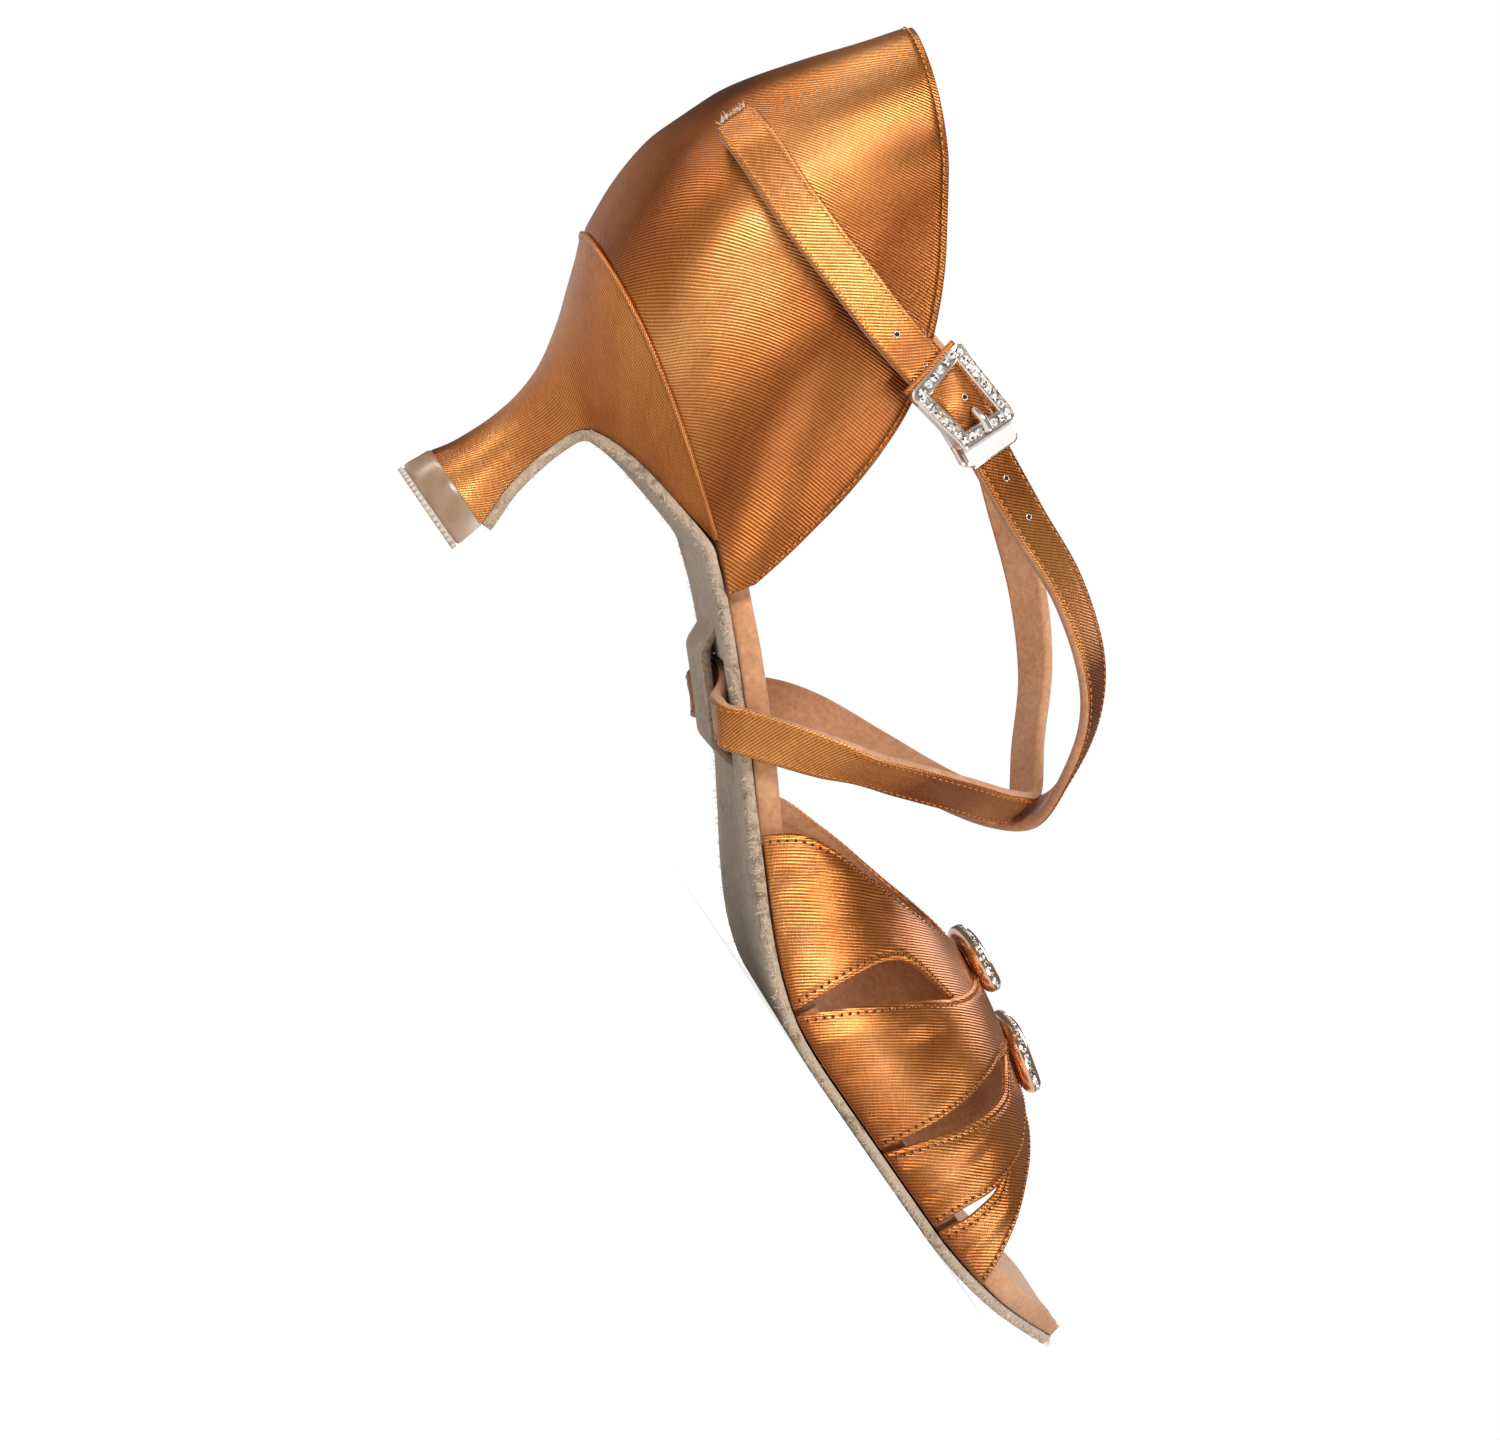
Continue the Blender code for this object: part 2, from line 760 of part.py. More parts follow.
def make_vamp():
    """The vamp: one arched wall, cut to its bands."""
    shares = 1 - (1 - np.linspace(0, 1, 14)) ** 1.1
    sides = [(-1, s) for s in shares] + [(1, s) for s in shares[-2::-1]]
    outer, inner = [], []
    for side, around in sides:
        start = read(THROAT_EDGE, around, 1)
        end = read(TOE_EDGE, around, 1)
        places = np.linspace(start, end, 20)
        outer.append([vamp_wall(a, around, side, 0.0) for a in places])
        inner.append([vamp_wall(a, around, side, -VAMP_WALL) for a in places])
    vamp = sheet_body("vamp", outer, inner, satin)
    windows = (("rear", REAR_WINDOW), ("front", FRONT_WINDOW), ("toe", TOE_SLIT))
    for label, window in windows:
        for side, word in ((-1, "lateral"), (1, "medial")):
            combine(vamp, window_cutter(f"{label}_window_{word}", window, side), "DIFFERENCE")
    return vamp


# Strap

def strap_rows():
    """The strap's route as rows of a point and the way it faces there."""
    rest = 4 * GAP + LOOP_THICK + STRAP_THICK / 2
    rows = []
    for around, lift in STRAP_START:
        normal = quarter_normal(around, lift, 1)
        rows.append((quarter_point(around, lift, 1) + normal * rest, normal))
    for row in STRAP_OVER_FIRST:
        rows.append(free_row(*row))
    rows += tunnel_rows()
    for row in STRAP_OVER_SECOND:
        rows.append(free_row(*row))
    for k, (around, lift) in enumerate(STRAP_END):
        off = rest if k < 2 else 4 * GAP + STRAP_THICK / 2
        normal = quarter_normal(around, lift, -1)
        rows.append((quarter_point(around, lift, -1) + normal * off, normal))
    return rows


def free_row(along, across, lift):
    """A free stretch's point, facing away from the line inside the foot."""
    point = np.array([x_of(along), across * BALL_WIDTH, feather(along) + lift * COUNTER_HEIGHT])
    best = None
    for (a, la), (b, lb) in zip(FOOT_AXIS, FOOT_AXIS[1:]):
        start = np.array([x_of(a), 0.0, feather(a) + la * COUNTER_HEIGHT])
        end = np.array([x_of(b), 0.0, feather(b) + lb * COUNTER_HEIGHT])
        t = np.clip(np.dot(point - start, end - start) / np.dot(end - start, end - start), 0, 1)
        out = point - (start + (end - start) * t)
        if best is None or np.linalg.norm(out) < np.linalg.norm(best):
            best = out
    return point, best / np.linalg.norm(best)


def tunnel_rows():
    """The strap round the lateral edge of the shank, through the tunnel and round the medial edge."""
    rest = STRAP_THICK / 2 + 2 * GAP
    under = GAP + SOLE_THICK + rest
    inside = GAP / 2 + rest
    slit = TUNNEL_HALF_WIDTH + SLIT_WIDTH
    rows = []
    for side in (-1, 1):
        places = np.linspace(TUNNEL_ALONG, TUNNEL_ALONG + 2 * TUNNEL_SLANT + STRAP_WIDTH / SOLE_LENGTH / 2, 5)
        half = max(outline(at, side) for at in places)
        bend = [
            # slant, across, depth, turn outwards
            (1.50, half + rest + GAP, 0.0, 1.0),
            (1.30, half + 0.8 * rest, under - 0.9 * rest, 0.8),
            (1.15, half + 0.3 * rest, under + GAP, 0.4),
            (1.00, half - rest, under + 2 * GAP, 0.0),
            (0.85, slit + 2 * GAP, under + 2 * GAP, 0.0),
            (0.40, TUNNEL_HALF_WIDTH, inside + GAP, 0.0),
        ]
        half_rows = []
        for slant, across, depth, turn in bend:
            point, drop = under_shank(TUNNEL_ALONG + TUNNEL_SLANT * slant, side * across, depth)
            facing = np.array([0.0, side * turn, 0.0]) + drop * (1 - turn)
            half_rows.append((point, facing / np.linalg.norm(facing)))
        rows += half_rows if side < 0 else [under_shank(TUNNEL_ALONG, 0.0, inside)] + half_rows[::-1]
    return rows


def under_shank(along, y, depth):
    """A point under the shank, facing down."""
    drop = feather_normal(along)
    return np.array([x_of(along), y, feather(along)]) + drop * depth, drop


def strap_path(count):
    """Points of the strap's middle line with its tangents, widths and facings."""
    rows = [np.concatenate([point, facing]) for point, facing in strap_rows()]
    path = smooth_path(rows, count)
    points, facings = path[:, :3], path[:, 3:]
    tangents = np.gradient(points, axis=0)
    tangents /= np.linalg.norm(tangents, axis=1)[:, None]
    facings = facings - tangents * np.sum(facings * tangents, axis=1)[:, None]
    facings /= np.linalg.norm(facings, axis=1)[:, None]
    return points, tangents, np.cross(facings, tangents), facings


def make_strap():
    """The crossed strap, one ribbon from end to end."""
    points, _, across, facing = strap_path(150)
    outer, inner = [], []
    for p, w, n in zip(points, across, facing):
        outer.append([p + w * s * STRAP_WIDTH / 2 + n * STRAP_THICK / 2 for s in (-1, 1)])
        inner.append([p + w * s * STRAP_WIDTH / 2 - n * STRAP_THICK / 2 for s in (-1, 1)])
    return sheet_body("strap", outer, inner, satin)


# Buckle

def strap_strip(name, span, half, depths, material):
    """A body that follows the strap: from and to along it, its half width, and its depths off the middle line."""
    points, _, across, facing = strap_path(900)
    target = free_row(*STRAP_OVER_SECOND[-1])[0]
    middle = int(np.argmin(np.linalg.norm(points - target, axis=1)))
    step = np.linalg.norm(points[middle + 1] - points[middle])
    outer, inner = [], []
    for forward in np.linspace(span[0], span[1], 9):
        at = middle - forward / step
        k = int(at)
        place, wide, out = (rows[k] + (rows[k + 1] - rows[k]) * (at - k) for rows in (points, across, facing))
        outer.append([place + wide * s + out * depths[1] for s in (-half, half)])
        inner.append([place + wide * s + out * depths[0] for s in (-half, half)])
    return sheet_body(name, outer, inner, material)


def make_buckle():
    """Frame over the strap, prong on its front bar, hook plate under the strap, and the loop to the quarter."""
    over = STRAP_THICK / 2 + 2 * GAP
    half = BUCKLE_LONG / 2
    hole = half - BUCKLE_BAR
    frame = strap_strip("buckle_frame", (-half, half), BUCKLE_TALL / 2, (over, over + BUCKLE_DEEP), metal)
    window = strap_strip(
        "frame_cutter", (-hole, hole), BUCKLE_TALL / 2 - BUCKLE_BAR, (over - BUCKLE_DEEP, over + 2 * BUCKLE_DEEP), None
    )
    combine(frame, window, "DIFFERENCE")
    strap_strip("buckle_prong", (0.0, hole - GAP), PRONG_RADIUS, (over, over + 2 * PRONG_RADIUS), metal)
    depth = over
    rear = HOOK_REAR - half
    strap_strip(
        "buckle_hook", (rear, half + HOOK_REACH), HOOK_PLATE_TALL / 2, (-depth - HOOK_PLATE_THICK, -depth), metal
    )
    strap_strip(
        "buckle_loop", (rear - GAP - LOOP_LONG, rear - GAP), LOOP_WIDTH / 2, (-depth - LOOP_THICK, -depth), satin
    )


# Ornaments

def make_link(name, along, half_length):
    """A metal link bent over the vamp's top."""
    points = []
    count = 22
    for k in range(count):
        turn = 2 * math.pi * k / count
        place = along + half_length / SOLE_LENGTH * math.cos(turn)
        off = LINK_HALF_WIDTH * math.sin(turn)
        side = -1 if off < 0 else 1
        around = around_at(place, off, side)
        points.append(vamp_wall(place, around, side, LINK_RADIUS + 2 * GAP))
    data = bpy.data.curves.new(name, "CURVE")
    data.dimensions = "3D"
    data.bevel_depth = LINK_RADIUS
    data.bevel_resolution = 1
    spline = data.splines.new("POLY")
    spline.points.add(count - 1)
    for target, p in zip(spline.points, points):
        target.co = (*p, 1.0)
    spline.use_cyclic_u = True
    data.materials.append(metal)
    link = bpy.data.objects.new(name, data)
    shoe.objects.link(link)
    return link


def around_at(along, off, side):
    """The place around the arch that lies a distance off its ridge."""
    ridge = RIDGE * BALL_WIDTH
    span = abs(side * outline(along, side) - ridge)
    return 1 - math.asin(min(abs(off) / span, 1.0)) / (math.pi / 2)


for old in list(bpy.data.objects):
    bpy.data.objects.remove(old)
shoe = bpy.data.collections.new("latin_dance_shoe")
cutters = bpy.data.collections.new("cutters")
bpy.context.scene.collection.children.link(shoe)
bpy.context.scene.collection.children.link(cutters)

satin = finish("satin", SATIN, 0.35)
suede = finish("suede", SUEDE, 0.95)
microfibre = finish("microfibre", MICROFIBRE, 0.8)
clear_plastic = finish("clear_plastic", CLEAR_CAP, 0.2)
rubber = finish("rubber", RUBBER, 0.7)
metal = finish("metal", METAL, 0.2, 1.0)

make_outsole()
make_insole()
make_heel()
make_cap("heel_cap", TOP_PIECE_THICK + GAP, CAP_HEIGHT, (0.0006, 0.0002), clear_plastic)
make_cap("top_piece", 0.0, TOP_PIECE_THICK, (0.0006, 0.0006), rubber)
make_quarter()
make_vamp()
make_strap()
make_buckle()
make_link("ornament_rear", REAR_LINK_ALONG, REAR_LINK_HALF)
make_link("ornament_front", FRONT_LINK_ALONG, FRONT_LINK_HALF)
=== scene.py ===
import math

import bmesh
import bpy
import numpy as np
from mathutils import Matrix, Vector


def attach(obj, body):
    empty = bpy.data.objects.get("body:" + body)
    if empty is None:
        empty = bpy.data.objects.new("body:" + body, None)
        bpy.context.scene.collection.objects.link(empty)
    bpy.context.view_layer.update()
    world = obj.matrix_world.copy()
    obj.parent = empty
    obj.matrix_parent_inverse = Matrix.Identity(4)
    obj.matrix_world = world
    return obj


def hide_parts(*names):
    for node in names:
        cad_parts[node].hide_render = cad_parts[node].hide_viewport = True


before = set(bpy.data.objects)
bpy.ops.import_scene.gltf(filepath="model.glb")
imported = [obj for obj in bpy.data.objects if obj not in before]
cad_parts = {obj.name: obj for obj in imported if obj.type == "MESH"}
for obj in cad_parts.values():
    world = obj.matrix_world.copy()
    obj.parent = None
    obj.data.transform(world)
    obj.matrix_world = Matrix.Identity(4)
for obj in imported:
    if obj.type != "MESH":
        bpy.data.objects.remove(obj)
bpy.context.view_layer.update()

# The last and the suede sole
# The last is the form the shoe is made on: its outline, its feather line and the tables that follow it.
# The sole is one piece of chrome suede, 2 mm thick, glued from the toe over the shank and down the heel
# breast. Its edges are raw and fuzzy, and two slits leave a band under the shank for the strap.

SOLE_LENGTH = 0.223
BALL_WIDTH = 0.077
SEAT_RISE = 0.0483
HEEL_LENGTH = 0.0555
SOLE_THICK = 0.002
GAP = 0.0003
TREAD = 0.722
SEAT_ARC = 0.108
OUTLINE = [
    # along, lateral, medial
    (0.108, 0.331, 0.331),
    (0.161, 0.338, 0.338),
    (0.229, 0.331, 0.327),
    (0.296, 0.307, 0.292),
    (0.363, 0.299, 0.262),
    (0.430, 0.328, 0.273),
    (0.498, 0.396, 0.345),
    (0.565, 0.466, 0.436),
    (0.619, 0.497, 0.490),
    (0.700, 0.494, 0.526),
    (0.767, 0.448, 0.521),
    (0.834, 0.368, 0.490),
    (0.901, 0.240, 0.425),
    (0.946, 0.105, 0.345),
    (0.978, -0.010, 0.270),
    (0.994, -0.072, 0.208),
    (1.000, -0.125, 0.155),
]
FEATHER = [
    # along, rise
    (0.000, 1.000),
    (0.072, 0.959),
    (0.139, 0.897),
    (0.206, 0.814),
    (0.274, 0.710),
    (0.341, 0.576),
    (0.408, 0.421),
    (0.475, 0.250),
    (0.520, 0.137),
    (0.556, 0.062),
    (0.592, 0.014),
    (0.630, 0.000),
    (0.812, 0.000),
    (0.879, 0.028),
    (0.946, 0.085),
    (1.000, 0.140),
]
HEEL = [
    # back, back_up, breast, breast_up, width, arc
    (0.298, 0.135, 0.572, 0.135, 0.361, 0.62),
    (0.312, 0.205, 0.548, 0.205, 0.350, 0.62),
    (0.318, 0.290, 0.520, 0.290, 0.341, 0.62),
    (0.318, 0.385, 0.500, 0.415, 0.337, 0.62),
    (0.304, 0.500, 0.493, 0.535, 0.361, 0.60),
    (0.264, 0.625, 0.507, 0.620, 0.440, 0.58),
    (0.185, 0.760, 0.580, 0.672, 0.600, 0.54),
    (0.114, 0.855, 0.696, 0.709, 0.765, 0.50),
    (0.050, 0.940, 0.839, 0.731, 0.905, 0.46),
]
TUNNEL_ALONG = 0.359
TUNNEL_SLANT = 0.020
TUNNEL_LONG = 0.0072
TUNNEL_HALF_WIDTH = 0.012
SLIT_WIDTH = 0.0055
TUNNEL_DEEP = 0.0035
SOLE_ROWS = 90
BREAST_ROWS = 40
EDGE_FRAY = 0.00022
EDGE_WORN = 0.16
CUTTER_DEEP = 0.006
HEEL_TAPER = 0.06
BAND_REACH = 1.75
BAND_RAMP = 0.7
BAND_OFF = 0.0001
BAND_THICK = 0.00206
FUZZ_LEVEL = 0.55
FUZZ_DROOP = 0.7
WING_FROM = 0.044
WING = [
    # before the heel's breast, under the feather line
    (WING_FROM, 0.0),
    (0.032, 0.00005),
    (0.018, 0.0002),
    (0.0, 0.0006),
]
SUEDE = (0.490, 0.364, 0.252)
SUEDE_PALE = (0.680, 0.560, 0.435)
SUEDE_DEEP = (0.255, 0.180, 0.120)


def limited(slope, chord):
    """A slope held to what keeps a curve from overshooting its rows."""
    if slope * chord <= 0:
        return 0.0
    return math.copysign(min(abs(slope), 3 * abs(chord)), slope)


def read(table, at, index, by=0):
    """A table's column at a place in another, on a smooth curve through its rows."""
    places = np.array([row[by] for row in table])
    values = np.array([row[index] for row in table])
    slopes = np.gradient(values, places)
    at = min(max(at, places[0]), places[-1])
    k = max(min(int(np.searchsorted(places, at, side="right")) - 1, len(places) - 2), 0)
    span = places[k + 1] - places[k]
    t = (at - places[k]) / span
    rise = values[k + 1] - values[k]
    first = limited(slopes[k], rise / span) * span
    last = limited(slopes[k + 1], rise / span) * span
    bend = 3 * rise - 2 * first - last
    return values[k] + t * first + t * t * bend + t ** 3 * (first + last - 2 * rise)


def run_lengths(points):
    """Lengths from the first of a line of points to each of them."""
    return np.concatenate([[0], np.cumsum(np.linalg.norm(np.diff(points, axis=0), axis=1))])


def on_line(points, lengths, at):
    """The row of a line of points at a length along it."""
    return np.array([np.interp(at, lengths, column) for column in np.transpose(points)])


def unit(way):
    """A way with a length of one."""
    return way / np.linalg.norm(way)


def sideways(y):
    """A shift across the shoe."""
    return np.array([0, y, 0])


def smooth_path(points, count):
    """Evenly spread rows on a Catmull-Rom curve through rows of numbers."""
    rows = np.array(points, float)
    rows = np.vstack([2 * rows[0] - rows[1], rows, 2 * rows[-1] - rows[-2]])
    dense = []
    steps = 24
    for a, b, c, d in zip(rows, rows[1:], rows[2:], rows[3:]):
        for t in np.arange(steps) / steps:
            dense.append(0.5 * (
                2 * b + (c - a) * t + (2 * a - 5 * b + 4 * c - d) * t * t
                + (3 * b - a - 3 * c + d) * t ** 3
            ))
    dense.append(rows[-2])
    dense = np.array(dense)
    far = run_lengths(dense[:, :3])
    return np.array([on_line(dense, far, s) for s in np.linspace(0, far[-1], count)])


def eased(share):
    """A smooth rise from 0 to 1."""
    share = min(max(share, 0.0), 1.0)
    return share * share * (3 - 2 * share)


def end_spread(count):
    """Shares from 0 to 1, closer together near both ends."""
    return [(1 - math.cos(math.pi * k / (count - 1))) / 2 for k in range(count)]


def x_of(along):
    """X of a share of the sole's length."""
    return (along - TREAD) * SOLE_LENGTH


def feather(along):
    """Height of the feather line, where the upper meets the sole."""
    return SOLE_THICK + GAP / 2 + read(FEATHER, along, 1) * SEAT_RISE


def feather_point(along):
    """A point of the feather line, over the shoe's middle."""
    return np.array([x_of(along), 0.0, feather(along)])


def outline(along, side):
    """Half width of the last towards one side: -1 lateral, 1 medial."""
    index = 1 if side < 0 else 2
    if along < SEAT_ARC:
        back = 1 - max(along, 0.0) / SEAT_ARC
        return OUTLINE[0][index] * BALL_WIDTH * math.sqrt(max(1 - back * back, 0.0))
    return read(OUTLINE, along, index) * BALL_WIDTH


def feather_normal(along):
    """Unit normal of the feather line, downwards."""
    step = 0.002
    run = 2 * step * SOLE_LENGTH
    fall = feather(along + step) - feather(along - step)
    size = math.hypot(run, fall)
    return np.array([fall / size, 0.0, -run / size])


def heel_sections(count=15):
    """The heel's sections, read off a smooth curve through its table."""
    return [list(row) for row in smooth_path(HEEL, count)]


def heel_x(share):
    """X of a share of the heel's length."""
    return x_of(0.0) + share * HEEL_LENGTH


def heel_z(share):
    """Height of a share of the seat's height."""
    return share * feather(0.0)


def heel_half(width, share, arc):
    """Half width of a heel section at a share of its length from the back."""
    full = width * OUTLINE[0][1] * BALL_WIDTH
    if share < arc:
        return full * math.sqrt(1 - (1 - share / arc) ** 2)
    return full * (1 - HEEL_TAPER * ((share - arc) / (1 - arc)) ** 2)


def spread_lengths(grid):
    """Lengths across and along a grid of points, as flat coordinates in metres."""
    points = np.array(grid)
    rows = np.zeros(points.shape[:2])
    rows[1:] = np.cumsum(np.linalg.norm(np.diff(points, axis=0), axis=2), axis=0)
    columns = np.zeros(points.shape[:2])
    columns[:, 1:] = np.cumsum(np.linalg.norm(np.diff(points, axis=1), axis=2), axis=1)
    middle = points.shape[1] // 2
    return np.stack([rows[:, [middle]] + 0 * rows, columns - columns[:, [middle]]], axis=2)


def in_scene(name, data):
    """An object in the scene."""
    made = bpy.data.objects.new(name, data)
    bpy.context.scene.collection.objects.link(made)
    return made


def mesh_piece(name, points, faces, flat, looks, material_of):
    """A piece from points and faces, with its flat coordinates and a material for each face."""
    mesh = bpy.data.meshes.new(name)
    mesh.from_pydata([tuple(map(float, p)) for p in points], [], faces)
    for look in looks:
        mesh.materials.append(look)
    for polygon, index in zip(mesh.polygons, material_of):
        polygon.material_index = index
    layer = mesh.uv_layers.new(name="cloth")
    for loop in mesh.loops:
        layer.data[loop.index].uv = flat[loop.vertex_index]
    body = bmesh.new()
    body.from_mesh(mesh)
    bmesh.ops.recalc_face_normals(body, faces=body.faces)
    if body.calc_volume(signed=True) < 0:
        bmesh.ops.reverse_faces(body, faces=body.faces)
    body.to_mesh(mesh)
    body.free()
    mesh.shade_smooth()
    return in_scene(name, mesh)


def frozen(piece):
    """A piece's mesh with its modifiers applied."""
    return bpy.data.meshes.new_from_object(piece.evaluated_get(bpy.context.evaluated_depsgraph_get()))


def wall_piece(name, outer, inner, looks, edge_look=0, flat=None):
    """A closed wall between two grids: its outer face, its lining and its edge."""
    rows, columns = len(outer), len(outer[0])
    points = [p for grid in (outer, inner) for row in grid for p in row]
    spread = spread_lengths(outer) if flat is None else flat
    flats = [tuple(f) for _ in (0, 1) for row in spread for f in row]

    def at(skin, r, c):
        return skin * rows * columns + r * columns + c

    faces, kinds = [], []
    for r in range(rows - 1):
        for c in range(columns - 1):
            faces.append((at(0, r, c), at(0, r, c + 1), at(0, r + 1, c + 1), at(0, r + 1, c)))
            faces.append((at(1, r, c), at(1, r + 1, c), at(1, r + 1, c + 1), at(1, r, c + 1)))
            kinds += [0, len(looks) - 1]
    for c in range(columns - 1):
        for end in (0, rows - 1):
            faces.append((at(0, end, c), at(1, end, c), at(1, end, c + 1), at(0, end, c + 1)))
            kinds.append(edge_look)
    for r in range(rows - 1):
        for end in (0, columns - 1):
            faces.append((at(0, r, end), at(0, r + 1, end), at(1, r + 1, end), at(1, r, end)))
            kinds.append(edge_look)
    return mesh_piece(name, points, faces, flats, looks, kinds)


def smooth(piece, levels=1):
    """Subdivision with the same levels in view and render."""
    change = piece.modifiers.new("Smooth", "SUBSURF")
    change.levels = levels
    change.render_levels = levels
    return piece


def fitted(piece, slot, *nodes):
    """The piece rides on the shoe and stands for its solids; its slot is not used."""
    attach(piece, "root")
    if nodes:
        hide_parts(*nodes)
    return piece


def add(tree, kind, sockets=None, **settings):
    """A node with its settings and inputs, each input a value or the output of another node."""
    node = tree.nodes.new(kind)
    for key, value in settings.items():
        setattr(node, key, value)
    for label, value in (sockets or {}).items():
        if isinstance(value, bpy.types.NodeSocket):
            tree.links.new(value, node.inputs[label])
        else:
            node.inputs[label].default_value = value
    return node


def new_look(name, colour, roughness, metallic=0.0, more=None):
    """A material with its node tree and shader, whose further inputs are given by name."""
    look = bpy.data.materials.new(name)
    look.use_nodes = True
    look.diffuse_color = (*colour, 1.0)
    tree = look.node_tree
    shader = tree.nodes["Principled BSDF"]
    values = {"Base Color": (*colour, 1.0), "Roughness": roughness, "Metallic": metallic, **(more or {})}
    for label, value in values.items():
        shader.inputs[label].default_value = value
    return look, tree, shader


def shoe_place(tree):
    """The shoe's own coordinates in a material."""
    return add(tree, "ShaderNodeTexCoord").outputs["Object"]


def noise(tree, source, scale, detail=3.0, rough=0.55):
    """Noise on given coordinates."""
    values = {"Vector": source, "Scale": scale, "Detail": detail, "Roughness": rough}
    return add(tree, "ShaderNodeTexNoise", values).outputs["Fac"]


def ramp(tree, factor, stops):
    """A colour ramp through (place, colour) stops."""
    node = add(tree, "ShaderNodeValToRGB", {"Fac": factor})
    elements = node.color_ramp.elements
    for element, (place, colour) in ((elements[0], stops[0]), (elements[1], stops[-1])):
        element.position = place
        element.color = (*colour, 1.0)
    for place, colour in stops[1:-1]:
        elements.new(place).color = (*colour, 1.0)
    return node.outputs["Color"]


def coloured(tree, shader, factor, stops):
    """The shader's colour, read off a ramp."""
    tree.links.new(ramp(tree, factor, stops), shader.inputs["Base Color"])


def maths(tree, operation, first, second):
    """One step of arithmetic between sockets or numbers."""
    return add(tree, "ShaderNodeMath", {0: first, 1: second}, operation=operation).outputs[0]


def weighted(tree, *terms):
    """The sum of sockets, each times its weight."""
    total = None
    for socket, weight in terms:
        term = socket if weight == 1 else maths(tree, "MULTIPLY", socket, weight)
        total = term if total is None else maths(tree, "ADD", total, term)
    return total


def bump(tree, shader, height, distance, strength=1.0):
    """Relief on a shader."""
    values = {"Height": height, "Distance": distance, "Strength": strength}
    tree.links.new(add(tree, "ShaderNodeBump", values).outputs["Normal"], shader.inputs["Normal"])


def suede_look():
    """Brushed chrome suede: a short matted nap in three tones."""
    more = {"Sheen Weight": 0.35, "Sheen Roughness": 0.5, "Specular IOR Level": 0.15}
    look, tree, shader = new_look("suede", SUEDE, 0.95, more=more)
    where = shoe_place(tree)
    fine = noise(tree, where, 1900, 4.0, 0.7)
    nap = noise(tree, where, 620, 5.0, 0.65)
    mixed = weighted(tree, (nap, 0.62), (noise(tree, where, 55), 0.38))
    coloured(tree, shader, mixed, [(0.39, SUEDE_DEEP), (0.47, SUEDE), (0.56, SUEDE), (0.65, SUEDE_PALE)])
    bump(tree, shader, weighted(tree, (fine, 0.4), (nap, 1)), 0.0006, 0.9)
    return look


suede = suede_look()
suede_cut, cut_tree, cut_shader = new_look("suede_cut_edge", SUEDE_DEEP, 1.0)
cut_grain = noise(cut_tree, shoe_place(cut_tree), 1500, 4.0, 0.7)
coloured(cut_tree, cut_shader, cut_grain, [(0.35, SUEDE_DEEP), (0.65, SUEDE)])
bump(cut_tree, cut_shader, cut_grain, 0.0006)


def sole_stations():
    """The top face of the suede from toe to heel cap: its place, half widths and the way down."""
    stations = []
    wing = HEEL_LENGTH / SOLE_LENGTH
    for share in end_spread(SOLE_ROWS):
        along = 1 - share * (1 - wing - WING_FROM)
        drop = feather_normal(along)
        stations.append((feather_point(along) + drop * GAP / 2, outline(along, -1), outline(along, 1), drop))
    rows = []
    for before, under in WING:
        along = wing + before
        rows.append((x_of(along), 0.0, feather(along) - GAP / 2 - under, outline(along, 1)))
    for back, back_up, breast, breast_up, width, arc in reversed(heel_sections()):
        rows.append((heel_x(breast), 0.0, heel_z(breast_up), heel_half(width, 1.0, arc)))
    path = smooth_path(rows, BREAST_ROWS)
    for k in range(1, len(path)):
        last, after = path[k - 1], path[min(k + 1, len(path) - 1)]
        run = Vector((after[0] - last[0], 0.0, after[2] - last[2])).normalized()
        out = np.array([-run.z, 0.0, run.x])
        top = np.array([path[k][0], 0.0, path[k][2]]) + out * GAP / 3
        stations.append((top, path[k][3], path[k][3], out))
    return stations


def tunnel_rise(along, reach, ramp_share):
    """How far the tunnel's band stands off the shank, from 0 to 1."""
    away = abs(along - TUNNEL_ALONG - TUNNEL_SLANT / 2)
    return eased((reach + reach * ramp_share - away) / (reach * ramp_share))


def cut_window(sheet, centre, run, drop):
    """Cut the slits' window through the suede."""
    corners = []
    for a, b, c in [(a, b, c) for a in (-1, 1) for b in (-1, 1) for c in (-1, 1)]:
        aside = sideways(b * (TUNNEL_HALF_WIDTH + SLIT_WIDTH))
        corners.append(centre + run * a * TUNNEL_LONG + aside + drop * c * CUTTER_DEEP)
    faces = [(0, 1, 3, 2), (4, 6, 7, 5), (0, 4, 5, 1), (2, 3, 7, 6), (0, 2, 6, 4), (1, 5, 7, 3)]
    window = mesh_piece("window", corners, faces, [(0, 0)] * 8, [suede_cut], [0] * 6)
    change = sheet.modifiers.new("Window", "BOOLEAN")
    change.operation = "DIFFERENCE"
    change.object = window
    change.solver = "EXACT"
    cut = frozen(sheet)
    sheet.modifiers.clear()
    sheet.data = cut
    bpy.data.objects.remove(window)


